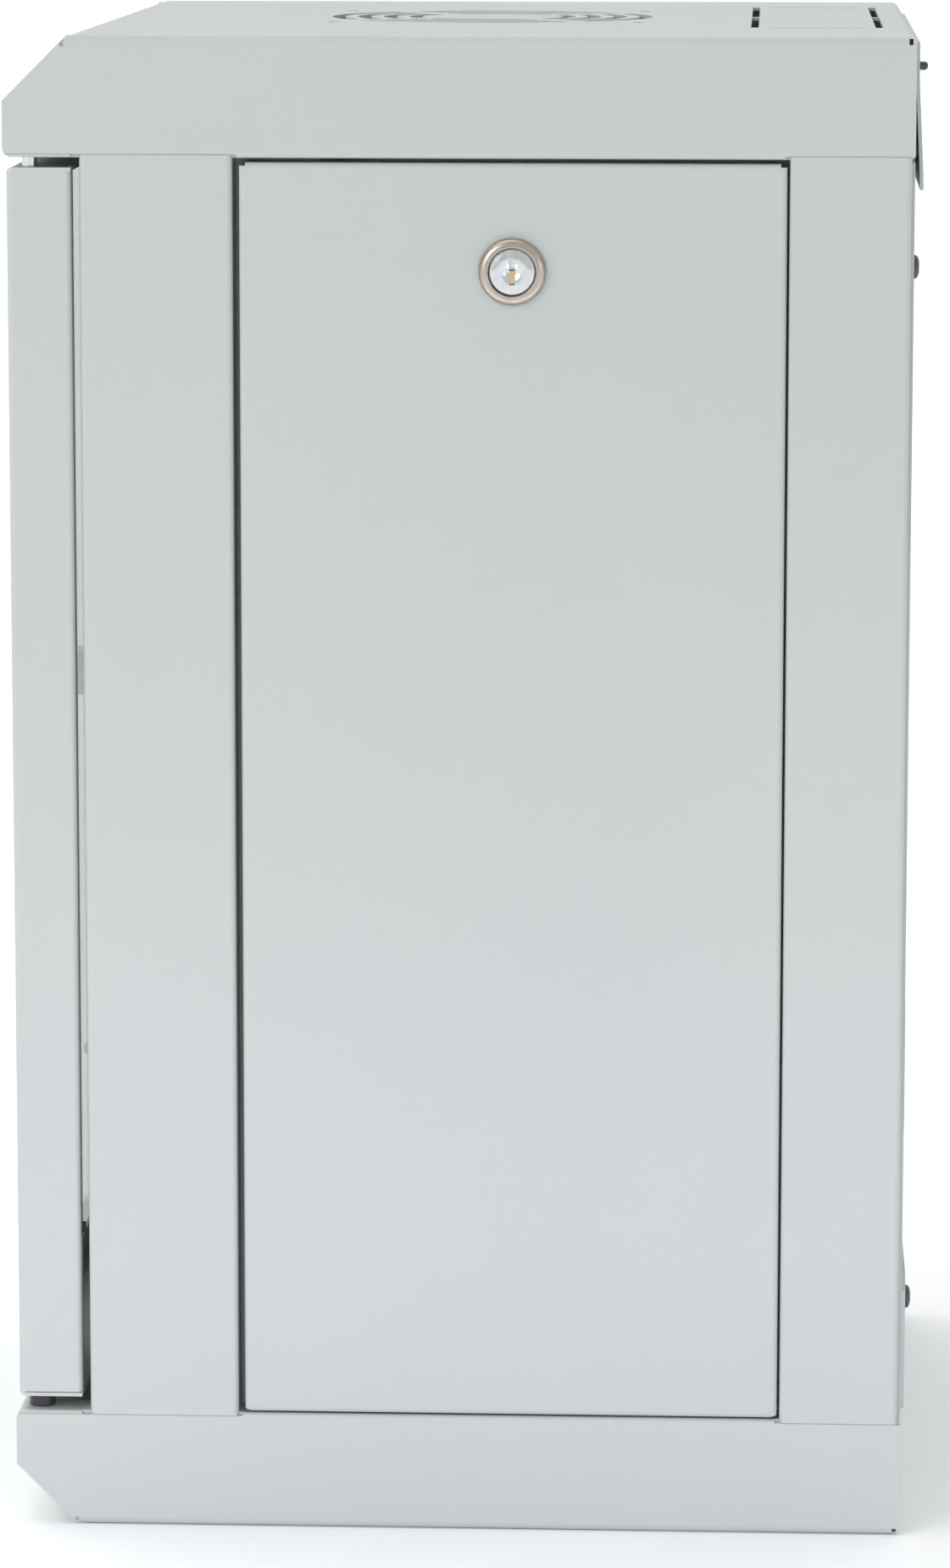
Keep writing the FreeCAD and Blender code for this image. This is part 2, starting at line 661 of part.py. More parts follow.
def rear_weld_nuts():
    """The nuts welded behind the rear posts' flanges."""
    face = REAR_FLANGE_Y - SHEET
    nuts = []
    for place in rear_screw_places():
        nuts.append(nut(V(place.x, face - SCREW_NUT_H, place.z), Y_AXIS, SCREW_NUT_AF, SCREW_NUT_H, SCREW_R))
    return Part.makeCompound(nuts)


def hanging_bracket():
    """The upper hook: a plate held off the cap's rear flange that leans out at its foot."""
    top = HEIGHT - HOOK_TOP
    back = REAR + SPACER_THICK + HOOK_THICK
    straight = top - HOOK_STRAIGHT
    bottom = top - HOOK_HEIGHT
    points = [(back + HOOK_FLARE, bottom), (back, straight), (back, top)]
    plate = folded(points, yz(-HOOK_WIDTH / 2), V(HOOK_WIDTH, 0, 0), HOOK_THICK)
    cuts = [rod(p, Y_AXIS, HOOK_BOLT_R, 10 * SHEET) for p in hook_bolt_places()]
    c = HOOK_CHAMFER
    for side in (-1, 1):
        x = side * HOOK_WIDTH / 2
        wedge = prism([(x - side * c, bottom - SHEET), (x + side * c, bottom - SHEET), (x + side * c, bottom + 2 * c)],
                      [0, 0, 0], xz(REAR), V(0, 6 * SHEET, 0))
        cuts.append(wedge)
    return plate.cut(Part.makeCompound(cuts))


def hanging_bracket_bolts():
    """The bolts of the hanging bracket, their heads inside the cap and their tails outside."""
    length = SHEET + SPACER_THICK + HOOK_THICK + HOOK_BOLT_TAIL
    bolts = []
    for place in hook_bolt_places():
        seat = place - Y_AXIS * SHEET
        bolts.append(pan_screw(seat, -Y_AXIS, HOOK_BOLT_R, HOOK_BOLT_HEAD_R, HOOK_BOLT_HEAD_H, length))
    return Part.makeCompound(bolts)


def bracket_spacers():
    """The washers between the cap's rear flange and the hanging bracket."""
    return Part.makeCompound([ring(p, Y_AXIS, SPACER_R, HOOK_BOLT_R, SPACER_THICK) for p in hook_bolt_places()])


# ---------------------------------------------------------------- rails

def carrier_levels():
    """The lower edge and fold direction of the upper and lower rail carriers."""
    return {
        "upper": CAP_Z - CARRIER_FROM_CAP - CARRIER_WEB,
        "lower": BASE_Z + CARRIER_FROM_BASE,
    }


def rail_carrier(z):
    """The right carrier bar: it spans the two posts' seats and carries the rail inside."""
    seat = SEAT_X - SHEET
    web = CARRIER_X
    points = [
        (seat, z - CARRIER_LIP + CARRIER_WEB),
        (seat, z + CARRIER_WEB),
        (web, z + CARRIER_WEB),
        (web, z),
    ]
    y0 = FRONT + CARRIER_FRONT
    y1 = REAR - CARRIER_REAR
    bar = folded(points, xz(y0), V(0, y1 - y0, 0))
    slot_z = z + CARRIER_WEB / 2
    slot_y = RAIL_Y + RAIL_RETURN / 2
    slot = box(web - 2 * SHEET, web + 3 * SHEET, slot_y - SCREW_R, slot_y + CARRIER_SLOT, slot_z - SCREW_R,
               slot_z + SCREW_R)
    return bar.cut(slot)


def rail_screw_places():
    """Where the right rail's screws pass into its carriers."""
    y = RAIL_Y + RAIL_RETURN / 2
    return [V(CARRIER_X, y, z + CARRIER_WEB / 2) for z in carrier_levels().values()]


def front_rail():
    """The right ten-inch rail with a square cage-nut hole at each standard place."""
    inner = RAIL_CLEAR / 2
    points = [(inner, RAIL_Y), (CARRIER_X, RAIL_Y), (CARRIER_X, RAIL_Y + RAIL_RETURN)]
    z0 = RAIL_Z0 - RAIL_OVERRUN
    length = UNITS * UNIT + 2 * RAIL_OVERRUN
    rail = folded(points, xy(z0), V(0, 0, length), RAIL_THICK)
    cuts = []
    half = RAIL_HOLE / 2
    x = RAIL_HOLE_SPACING / 2
    for unit in range(UNITS):
        for rise in HOLE_RISES:
            z = RAIL_Z0 + unit * UNIT + rise
            cuts.append(box(x - half, x + half, RAIL_Y - RAIL_THICK, RAIL_Y + 2 * RAIL_THICK, z - half, z + half))
    cuts += [rod(p - X_AXIS * 3 * RAIL_THICK, X_AXIS, SCREW_R, 4 * RAIL_THICK) for p in rail_screw_places()]
    return rail.cut(Part.makeCompound(cuts))


def rail_screws():
    """The screws that clamp the two rails to their carriers."""
    screws = []
    for place in rail_screw_places():
        seat = place - X_AXIS * RAIL_THICK
        screw = pan_screw(seat, -X_AXIS, SCREW_R, SCREW_HEAD_R, SCREW_HEAD_H, SCREW_LENGTH)
        screws += [screw, mirrored_x(screw)]
    return Part.makeCompound(screws)


def rail_nuts():
    """The nuts outside the carriers."""
    nuts = []
    for place in rail_screw_places():
        piece = nut(place + X_AXIS * SHEET, X_AXIS, SCREW_NUT_AF, SCREW_NUT_H, SCREW_R)
        nuts += [piece, mirrored_x(piece)]
    return Part.makeCompound(nuts)


# ---------------------------------------------------------------- pans: side panels and door

def pan(x0, x1, z0, z1, depth, bend):
    """An open pan facing -Y with its face at Y 0, folded back on all four sides."""
    def block(inset, radius):
        ends = (x0 + inset, x1 - inset, z0 + inset, z1 - inset)
        far = depth + SHEET if inset else depth
        plan = prism([(ends[0], far), (ends[0], inset), (ends[1], inset), (ends[1], far)],
                     [0, radius, radius, 0], xy(z0), V(0, 0, z1 - z0))
        side = prism([(far, ends[2]), (inset, ends[2]), (inset, ends[3]), (far, ends[3])],
                     [0, radius, radius, 0], yz(x0), V(x1 - x0, 0, 0))
        return plan.common(side)

    return block(0, bend).cut(block(SHEET, max(bend - SHEET, TIGHT_BEND)))


def panel_reliefs():
    """The open corners of the side panel: square above, tapered below, and slits behind."""
    cuts = []
    behind = SHEET + BEND
    for y, inward in ((PANEL_Y0, 1), (PANEL_Y1, -1)):
        top = [(y, PANEL_Z1 + SHEET), (y, PANEL_Z1 - PANEL_NOTCH_H),
               (y + inward * PANEL_NOTCH_W, PANEL_Z1 - PANEL_NOTCH_H), (y + inward * PANEL_NOTCH_W, PANEL_Z1 + SHEET)]
        foot = [(y, PANEL_Z0), (y + inward * PANEL_WEDGE_W, PANEL_Z0), (y, PANEL_Z0 + PANEL_NOTCH_H)]
        for points in (top, foot):
            cuts.append(prism(points, [0] * len(points), xz(-SHEET), V(0, PANEL_DEPTH + 2 * SHEET, 0)))
        y0, y1 = sorted((y, y + inward * behind))
        for z in (PANEL_Z0, PANEL_Z1 - behind):
            cuts.append(box(y0, y1, behind, PANEL_DEPTH + SHEET, z, z + behind))
    return cuts


def side_panel():
    """The right side panel: a pan with a lock hole and two tongues that rest on the base's lip."""
    panel = pan(PANEL_Y0, PANEL_Y1, PANEL_Z0, PANEL_Z1, PANEL_DEPTH, BEND + SHEET)
    panel = panel.cut(rod(V(SIDE_LOCK_Y, -SHEET, SIDE_LOCK_Z), Y_AXIS, LOCK_BARREL_R, 3 * SHEET))
    panel = panel.cut(Part.makeCompound(panel_reliefs()))
    quarter = (PANEL_Y1 - PANEL_Y0) / 4
    for y in (PANEL_Y0 + quarter, PANEL_Y1 - quarter):
        tongue = box(y - PANEL_TONGUE / 2, y + PANEL_TONGUE / 2, PANEL_DEPTH - SHEET, PANEL_DEPTH + 4 * SHEET,
                     PANEL_Z0, PANEL_Z0 + SHEET)
        panel = panel.fuse(tongue)
    panel = panel.removeSplitter()
    panel.rotate(V(0, 0, 0), Z_AXIS, 90)
    panel.translate(V(SIDE, 0, 0))
    return panel


def door_side():
    """The back half of the door's right side, folded in to a lip."""
    points = [(DOOR_SIDE, DOOR_BACK - DOOR_DEPTH / 2), (DOOR_SIDE, DOOR_BACK), (DOOR_SIDE - DOOR_LIP, DOOR_BACK)]
    return folded(points, xy(DOOR_Z0 + SHEET + DOOR_SEAM), V(0, 0, DOOR_Z1 - DOOR_Z0 - 2 * SHEET - DOOR_SEAM))


def door_frame():
    """The door: a pan with lips behind its sides, a window, and lock, pin and bush holes."""
    door = pan(-DOOR_SIDE, DOOR_SIDE, DOOR_Z0, DOOR_Z1, DOOR_DEPTH, DOOR_BEND)
    door.translate(V(0, DOOR_Y, 0))
    side = door_side()
    wall = box(DOOR_SIDE - SHEET, DOOR_SIDE + SHEET, DOOR_BACK - DOOR_DEPTH / 2, DOOR_BACK + SHEET, DOOR_Z0 + SHEET,
               DOOR_Z1 - SHEET)
    seam = box(DOOR_SIDE - SHEET, DOOR_SIDE + SHEET, DOOR_Y + DOOR_BEND, DOOR_BACK + SHEET, DOOR_Z0 + SHEET,
               DOOR_Z0 + SHEET + DOOR_SEAM)
    door = door.cut(Part.makeCompound([wall, mirrored_x(wall)]))
    door = door.fuse([side, mirrored_x(side)]).removeSplitter()
    cuts = [
        seam, mirrored_x(seam),
        rounded_plate(-WINDOW_X, WINDOW_X, WINDOW_Z0, WINDOW_Z1, DOOR_Y - SHEET, DOOR_Y + 3 * SHEET, WINDOW_CORNER),
        rod(V(DOOR_LOCK_X, DOOR_Y - SHEET, DOOR_LOCK_Z), Y_AXIS, LOCK_BARREL_R, 3 * SHEET),
        rod(V(HINGE_X, HINGE_Y, DOOR_Z1 - 2 * SHEET), Z_AXIS, PIN_R + PIN_FIT, 4 * SHEET),
        rod(V(HINGE_X, HINGE_Y, DOOR_Z0 - SHEET), Z_AXIS, BUSH_SHANK_R, 3 * SHEET),
    ]
    return door.cut(Part.makeCompound(cuts))


def door_buffers():
    """A rubber pad low on the back of each of the door's lips."""
    x = DOOR_SIDE - DOOR_LIP
    z = DOOR_Z0 + BUFFER_FROM_BOTTOM
    pad = box(x, x + BUFFER_WIDTH, DOOR_BACK, DOOR_BACK + BUFFER_THICK, z, z + BUFFER_HEIGHT)
    return Part.makeCompound([pad, mirrored_x(pad)])


def door_glass():
    """The toughened glass behind the window."""
    return rounded_plate(-GLASS_X, GLASS_X, GLASS_Z0, GLASS_Z1, GLASS_Y, GLASS_Y + GLASS_THICK,
                         GLASS_CORNER)


def glass_gasket():
    """The foam strip between the door's face and the glass."""
    outer = rounded_plate(-GLASS_X, GLASS_X, GLASS_Z0, GLASS_Z1, DOOR_Y + SHEET, GLASS_Y, GLASS_CORNER)
    w = GASKET_WIDTH
    return outer.cut(rounded_plate(-GLASS_X + w, GLASS_X - w, GLASS_Z0 + w, GLASS_Z1 - w, DOOR_Y + SHEET,
                                   GLASS_Y, GASKET_CORNER))


def glass_retainer():
    """The right retainer: a stepped strip from the door's face over the glass's edge."""
    on_glass = GLASS_Y + GLASS_THICK + SHEET
    on_door = DOOR_Y + 2 * SHEET
    step = RETAINER_X
    points = [(step + RETAINER_FOOT, on_door), (step, on_door), (step, on_glass), (GLASS_X - RETAINER_LAP, on_glass)]
    z0 = GLASS_Z0 + RETAINER_STOP
    z1 = GLASS_Z1 - RETAINER_STOP
    strip = folded(points, xy(z0), V(0, 0, z1 - z0))
    for place in stud_places():
        strip = strip.cut(rod(place - Y_AXIS * SHEET, Y_AXIS, STUD_R, 4 * SHEET))
    return strip


def stud_places():
    """Where the right retainer's studs stand on the back of the door's face."""
    x = RETAINER_X + (BEND + RETAINER_FOOT) / 2
    middle = (GLASS_Z0 + GLASS_Z1) / 2
    reach = (GLASS_Z1 - GLASS_Z0) / 2 - STUD_SETBACK
    return [V(x, DOOR_Y + SHEET, middle + reach * step) for step in (-1, 1)]


def retainer_studs():
    """The studs welded to the door for the glass retainers."""
    studs = []
    for place in stud_places():
        piece = rod(place, Y_AXIS, STUD_R, STUD_H)
        studs += [piece, mirrored_x(piece)]
    return Part.makeCompound(studs)


def retainer_nuts():
    """The nuts on those studs."""
    nuts = []
    for place in stud_places():
        piece = nut(place + Y_AXIS * SHEET, Y_AXIS, RETAINER_NUT_AF, RETAINER_NUT_H, STUD_R)
        nuts += [piece, mirrored_x(piece)]
    return Part.makeCompound(nuts)


# ---------------------------------------------------------------- locks

def lock_housing(length):
    """A lock's ring and barrel along +Y, its seat at Y 0 and its ring in front."""
    mouth = LOCK_PLUG_R + LOCK_FIT
    face = mouth + LOCK_RING_FACE
    shoulder = (LOCK_RING_R + face) / 2
    profile = [
        V(LOCK_RING_R, 0, 0), V(LOCK_RING_R, -LOCK_RING_EDGE, 0), V(shoulder, -LOCK_RING_SHOULDER, 0),
        V(face, -LOCK_RING_H, 0), V(mouth, -LOCK_RING_H, 0), V(mouth, length, 0),
        V(LOCK_BARREL_R, length, 0), V(LOCK_BARREL_R, 0, 0), V(LOCK_RING_R, 0, 0),
    ]
    return Part.Face(Part.makePolygon(profile)).revolve(V(0, 0, 0), Y_AXIS, 360)


def lock_plug(length):
    """A lock's turning plug along +Y, with its keyway in front and a square tail behind."""
    front = LOCK_PLUG_SUNK - LOCK_RING_H
    plug = rod(V(0, front, 0), Y_AXIS, LOCK_PLUG_R, length + CAM_GAP - front)
    plug = plug.makeChamfer(LOCK_PLUG_CHAMFER, [rim_edge(plug, V(0, front, 0))])
    half = CAM_SQUARE / 2
    tail = box(-half, half, length, length + CAM_GAP + CAM_THICK, -half, half)
    slot = box(-KEY_SLOT_W / 2, KEY_SLOT_W / 2, front - 1, front + KEY_SLOT_DEPTH, -KEY_SLOT_H / 2, KEY_SLOT_H / 2)
    funnel = Part.makeCone(KEY_FUNNEL_R, KEY_FUNNEL_R1, KEY_FUNNEL_H, V(0, front, 0), Y_AXIS)
    return plug.fuse(tail).cut(slot).cut(funnel)


def lock_nut():
    """The nut that clamps a lock behind its sheet."""
    return nut(V(0, SHEET, 0), Y_AXIS, LOCK_NUT_AF, LOCK_NUT_H, LOCK_BARREL_R)


def lock_cam(length, reach):
    """A cam on the plug's tail, pointing down from the lock's axis."""
    y = length + CAM_GAP
    half = CAM_WIDTH / 2
    tip = CAM_TIP
    points = [(-half, half), (-half, -reach + tip), (-half + tip, -reach), (half - tip, -reach),
              (half, -reach + tip), (half, half)]
    crown = half - CAM_FLAT / 2
    radii = [crown, CAM_CORNER, CAM_CORNER, CAM_CORNER, CAM_CORNER, crown]
    plate = prism(points, radii, xz(y), V(0, CAM_THICK, 0))
    square = CAM_SQUARE / 2
    return plate.cut(box(-square, square, y - 1, y + 2 * CAM_THICK, -square, square))


def cam_screw(length):
    """The washer-headed screw that holds a cam on its plug."""
    face = V(0, length + CAM_GAP + CAM_THICK, 0)
    washer = rod(face, Y_AXIS, CAM_WASHER_R, CAM_WASHER_H)
    head = hexagon(face + Y_AXIS * CAM_WASHER_H, Y_AXIS, CAM_SCREW_AF, CAM_SCREW_H)
    return washer.fuse(head)


def place_lock(shape, at, turn, roll):
    """Put a lock's piece at its place: rolled about its own axis, then turned about Z."""
    piece = shape.copy()
    piece.rotate(V(0, 0, 0), Y_AXIS, roll)
    piece.rotate(V(0, 0, 0), Z_AXIS, turn)
    piece.translate(at)
    return piece


def lock_pieces(name, at, turn, length, reach, roll):
    """The five pieces of one lock by node name."""
    return {
        name + "_lock_housing": place_lock(lock_housing(length), at, turn, 0),
        name + "_lock_nut": place_lock(lock_nut(), at, turn, 0),
        name + "_lock_plug": place_lock(lock_plug(length), at, turn, 0),
        name + "_lock_cam": place_lock(lock_cam(length, reach), at, turn, roll),
        name + "_cam_screw": place_lock(cam_screw(length), at, turn, 0),
    }


def locks():
    """The door's lock and the two side panels' locks."""
    door_length = POST_FRONT + SHEET - DOOR_Y
    door_reach = DOOR_LOCK_X - (POST_FRONT_FLANGE - SIDE) + CAM_LAP + DOOR_CAM_EXTRA
    side_length = SIDE_LIP
    side_reach = CAP_Z - SIDE_LOCK_Z + CAM_LAP
    pieces = lock_pieces("door", V(DOOR_LOCK_X, DOOR_Y, DOOR_LOCK_Z), 0, door_length, door_reach, 0)
    right = V(SIDE, SIDE_LOCK_Y, SIDE_LOCK_Z)
    left = V(-SIDE, SIDE_LOCK_Y, SIDE_LOCK_Z)
    pieces.update(lock_pieces("right", right, 90, side_length, side_reach, -90))
    pieces.update(lock_pieces("left", left, -90, side_length, side_reach, 90))
    return pieces


# ---------------------------------------------------------------- hinge and earth

def pin_top():
    """The height of the sprung pin's tip at rest."""
    return CAP_Z + SHEET + PIN_REACH


def pin_collar_z():
    """The underside of the sprung pin's collar, which stops under the door's top fold."""
    return DOOR_Z1 - SHEET - RUNNING_GAP - PIN_COLLAR_H


def upper_hinge_pin():
    """The sprung pin: a bent rod with a collar under the door's top and a handle at its foot."""
    top = pin_top()
    level = top - PIN_LENGTH + PIN_R
    corner = PIN_ELBOW * (1 - math.sqrt(0.5))
    first = V(HINGE_X, HINGE_Y, level + PIN_ELBOW)
    middle = V(HINGE_X - corner, HINGE_Y, level + corner)
    last = V(HINGE_X - PIN_ELBOW, HINGE_Y, level)
    path = Part.Wire([
        Part.makeLine(V(HINGE_X, HINGE_Y, top), first),
        Part.Arc(first, middle, last).toShape(),
        Part.makeLine(last, V(HINGE_X - PIN_HANDLE, HINGE_Y, level)),
    ])
    section = Part.Wire(Part.makeCircle(PIN_R, V(HINGE_X, HINGE_Y, top), -Z_AXIS))
    bar = path.makePipeShell([section], True, True)
    collar = rod(V(HINGE_X, HINGE_Y, pin_collar_z()), Z_AXIS, PIN_COLLAR_R, PIN_COLLAR_H)
    return bar.fuse(collar)


def pin_bracket_z():
    """The height of the pin bracket's shelf, just above the pin's elbow."""
    return pin_top() - PIN_LENGTH + PIN_R + PIN_ELBOW + RUNNING_GAP


def hinge_pin_bracket():
    """The angle inside the door that guides the sprung pin."""
    z = pin_bracket_z()
    wall = DOOR_SIDE - SHEET
    points = [(HINGE_X - PIN_SHELF, z), (wall, z), (wall, z + PIN_BRACKET_H)]
    angle = folded(points, xz(DOOR_Y + DOOR_BEND), V(0, PIN_BRACKET_DEPTH, 0))
    return angle.cut(rod(V(HINGE_X, HINGE_Y, z - SHEET), Z_AXIS, PIN_R + PIN_FIT, 4 * SHEET))


def hinge_spring():
    """The coil spring between the bracket and the pin's collar, of square wire."""
    half = SPRING_WIRE
    low = pin_bracket_z() + SHEET + half
    high = pin_collar_z() - half
    helix = Part.makeHelix((high - low) / SPRING_TURNS, high - low, SPRING_R)
    section = Part.makePolygon([V(SPRING_R - half, 0, -half), V(SPRING_R + half, 0, -half),
                                V(SPRING_R + half, 0, half), V(SPRING_R - half, 0, half),
                                V(SPRING_R - half, 0, -half)])
    coil = Part.Wire(helix).makePipeShell([section], True, True)
    coil.translate(V(HINGE_X, HINGE_Y, low))
    return coil


def lower_pivot_pin():
    """The pin riveted in the base's front lip."""
    lip = BASE_Z - SHEET
    head = rod(V(HINGE_X, HINGE_Y, lip - PIVOT_HEAD_H), Z_AXIS, PIVOT_HEAD_R, PIVOT_HEAD_H)
    top = DOOR_Z0 + SHEET + BUSH_TAIL - RUNNING_GAP
    pin = rod(V(HINGE_X, HINGE_Y, lip), Z_AXIS, PIN_R, top - lip)
    return head.fuse(pin).removeSplitter()


def lower_hinge_bush():
    """The black bush in the door's bottom fold that turns on the pivot pin."""
    low = BASE_Z + RUNNING_GAP
    at = V(HINGE_X, HINGE_Y, low)
    flange = rod(at, Z_AXIS, BUSH_R, DOOR_Z0 - low)
    shank = rod(at, Z_AXIS, BUSH_SHANK_R, DOOR_Z0 - low + SHEET + BUSH_TAIL)
    bore = rod(at, Z_AXIS, PIN_R + PIN_FIT, LONG)
    return flange.fuse(shank).removeSplitter().cut(bore)


def earth_stud():
    """The earth stud through the base plate."""
    return rod(V(SIDE - EARTH_INSET, REAR - EARTH_INSET, 0), Z_AXIS, EARTH_R, EARTH_H)


def earth_nut():
    """The nut that clamps the stud to the base plate."""
    return nut(V(SIDE - EARTH_INSET, REAR - EARTH_INSET, SHEET), Z_AXIS, EARTH_NUT_AF, EARTH_NUT_H, EARTH_R)


def model():
    """Every node of the cabinet by name."""
    levels = carrier_levels()
    right = {
        "front_post": front_post(),
        "rear_post": rear_post(),
        "side_panel": side_panel(),
        "front_rail": front_rail(),
        "rail_carrier_upper": rail_carrier(levels["upper"]),
        "rail_carrier_lower": rail_carrier(levels["lower"]),
        "glass_retainer": glass_retainer(),
    }
    nodes = {
        "top_cap": top_cap(),
        "base_tray": base_tray(),
        "rear_panel": rear_panel(),
        "rear_entry_trim": entry_trim(),
        "rear_panel_screws": rear_panel_screws(),
        "rear_weld_nuts": rear_weld_nuts(),
        "lower_wall_bracket": lower_wall_bracket(),
        "hanging_bracket": hanging_bracket(),
        "hanging_bracket_bolts": hanging_bracket_bolts(),
        "bracket_spacers": bracket_spacers(),
        "rail_screws": rail_screws(),
        "rail_nuts": rail_nuts(),
        "door_frame": door_frame(),
        "door_glass": door_glass(),
        "glass_gasket": glass_gasket(),
        "door_buffers": door_buffers(),
        "retainer_studs": retainer_studs(),
        "retainer_nuts": retainer_nuts(),
        "upper_hinge_pin": upper_hinge_pin(),
        "hinge_pin_bracket": hinge_pin_bracket(),
        "hinge_spring": hinge_spring(),
        "lower_pivot_pin": lower_pivot_pin(),
        "lower_hinge_bush": lower_hinge_bush(),
        "earth_stud": earth_stud(),
        "earth_nut": earth_nut(),
    }
    for name, shape in right.items():
        nodes[name + "_right"] = shape
        nodes[name + "_left"] = mirrored_x(shape)
    nodes.update(locks())
    return nodes


def main():
    """Write one STEP file for each node."""
    os.makedirs("parts", exist_ok=True)
    for name, shape in model().items():
        shape.exportStep(os.path.join("parts", name + ".step"))
        print(name, len(shape.Solids), round(shape.Volume, 1), shape.isValid())


main()
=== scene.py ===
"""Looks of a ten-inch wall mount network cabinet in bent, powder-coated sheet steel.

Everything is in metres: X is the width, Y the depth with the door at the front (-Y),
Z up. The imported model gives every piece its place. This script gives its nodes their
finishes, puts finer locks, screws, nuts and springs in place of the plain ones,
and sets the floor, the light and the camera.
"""

import json
import logging
import math
from dataclasses import dataclass, field
from enum import Enum
from typing import Any, Iterable, Sequence

import bmesh
import bpy
from mathutils import Euler, Matrix, Vector

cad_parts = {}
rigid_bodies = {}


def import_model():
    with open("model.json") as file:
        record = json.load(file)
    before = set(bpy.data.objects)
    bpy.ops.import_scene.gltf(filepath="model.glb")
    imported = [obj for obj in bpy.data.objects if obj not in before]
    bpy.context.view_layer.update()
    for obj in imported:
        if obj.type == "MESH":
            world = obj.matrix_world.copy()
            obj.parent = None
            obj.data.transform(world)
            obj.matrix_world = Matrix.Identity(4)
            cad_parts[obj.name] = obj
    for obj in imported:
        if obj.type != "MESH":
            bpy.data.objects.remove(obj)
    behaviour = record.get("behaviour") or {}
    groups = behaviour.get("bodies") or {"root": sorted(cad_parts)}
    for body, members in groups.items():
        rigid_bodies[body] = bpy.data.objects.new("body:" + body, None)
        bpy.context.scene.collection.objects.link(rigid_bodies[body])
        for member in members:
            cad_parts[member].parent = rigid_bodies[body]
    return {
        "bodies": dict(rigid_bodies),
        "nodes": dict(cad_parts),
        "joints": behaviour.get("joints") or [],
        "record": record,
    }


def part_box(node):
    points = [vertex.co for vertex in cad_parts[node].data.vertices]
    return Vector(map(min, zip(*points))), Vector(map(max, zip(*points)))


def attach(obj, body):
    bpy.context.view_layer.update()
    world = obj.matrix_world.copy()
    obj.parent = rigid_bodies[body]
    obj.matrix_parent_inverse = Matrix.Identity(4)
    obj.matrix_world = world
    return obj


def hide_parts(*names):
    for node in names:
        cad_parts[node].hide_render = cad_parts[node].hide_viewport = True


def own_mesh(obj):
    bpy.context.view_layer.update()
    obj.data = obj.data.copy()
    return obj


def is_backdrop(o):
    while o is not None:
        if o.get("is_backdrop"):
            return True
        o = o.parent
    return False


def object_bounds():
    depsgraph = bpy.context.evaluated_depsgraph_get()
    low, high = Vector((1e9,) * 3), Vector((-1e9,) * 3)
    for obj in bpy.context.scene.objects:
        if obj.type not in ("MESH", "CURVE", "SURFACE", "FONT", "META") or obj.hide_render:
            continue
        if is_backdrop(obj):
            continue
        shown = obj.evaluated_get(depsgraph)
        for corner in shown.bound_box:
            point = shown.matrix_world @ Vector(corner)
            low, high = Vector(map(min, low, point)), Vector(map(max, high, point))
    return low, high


LOG = logging.getLogger("cabinet")
MM = 0.001

Colour = tuple[float, float, float]


class Slot(Enum):
    """The finishes that the cabinet's pieces take."""

    POWDER = "grey_powder_coat"
    ZINC = "zinc_steel"
    SATIN_NICKEL = "satin_nickel"
    BRIGHT_NICKEL = "bright_nickel"
    SPRING = "spring_steel"
    GLASS = "tinted_glass"
    FOAM = "black_foam"
    RUBBER = "black_rubber"
    PLASTIC = "black_plastic"
    BLACK_STEEL = "black_steel"
    BRASS = "brass"


class Side(Enum):
    """The faces of the cabinet that hardware sits on, as the way each looks out."""

    FRONT = (0, -1, 0)
    RIGHT = (1, 0, 0)
    LEFT = (-1, 0, 0)
    REAR = (0, 1, 0)

    def opposite(self) -> "Side":
        """The face across the cabinet."""
        return Side(tuple(-part for part in self.value))

    def place(self, at: Vector) -> Matrix:
        """The matrix that stands a piece built along +Z on this face.

        Args:
            at: The point on the face that the piece's own origin goes to.

        Returns:
            A matrix whose Z looks out of the face and whose Y is up.
        """
        outward = Vector(self.value)
        up = Vector((0, 0, 1))
        across = up.cross(outward)
        turn = Matrix((across, up, outward)).transposed().to_4x4()
        return Matrix.Translation(at) @ turn

    def ends(self, node: str) -> tuple[float, Vector, Vector]:
        """How a node reaches along the way out of this face.

        Args:
            node: The node's name.

        Returns:
            Its length that way, and the middles of its inner and its outer end.
        """
        low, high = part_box(node)
        outward = Vector(self.value)
        middle = (low + high) / 2
        length = abs((high - low).dot(outward))
        return length, middle - outward * length / 2, middle + outward * length / 2


# ---------------------------------------------------------------- node graphs


class Graph:
    """A node tree that is built in code."""

    def __init__(self, tree: bpy.types.NodeTree) -> None:
        """Wraps an empty tree."""
        self.tree = tree

    def node(
        self,
        kind: str,
        settings: dict[str, Any] | None = None,
        inputs: dict[str | int, Any] | None = None,
    ) -> bpy.types.Node:
        """Adds a node.

        Args:
            kind: The node's type.
            settings: Its settings by name; "stops" are a ramp's places and colours.
            inputs: What its sockets hold, by name or number: a number, a colour, a
                Value, a socket or another node, whose first output is taken.

        Returns:
            The new node.
        """
        made = self.tree.nodes.new(kind)
        for name, setting in (settings or {}).items():
            if name == "stops":
                self._set_stops(made, setting)
            else:
                setattr(made, name, setting)
        for key, content in (inputs or {}).items():
            self.feed(made.inputs[key], content)
        return made

    @staticmethod
    def _set_stops(
        ramp: bpy.types.Node, stops: Sequence[tuple[float, Colour]]
    ) -> None:
        """Gives a ramp its places and colours."""
        elements = ramp.color_ramp.elements
        while len(elements) < len(stops):
            elements.new(1.0)
        for element, (place, colour) in zip(elements, stops):
            element.position = place
            element.color = (*colour, 1.0)

    def feed(self, socket: bpy.types.NodeSocket, content: Any) -> None:
        """Sets or links an input socket."""
        if isinstance(content, Value):
            content = content.socket
        if isinstance(content, bpy.types.Node):
            content = content.outputs[0]
        if isinstance(content, bpy.types.NodeSocket):
            self.tree.links.new(content, socket)
        else:
            socket.default_value = content

    def value(self, socket: bpy.types.NodeSocket) -> "Value":
        """Wraps a socket for shader maths."""
        return Value(self, socket)


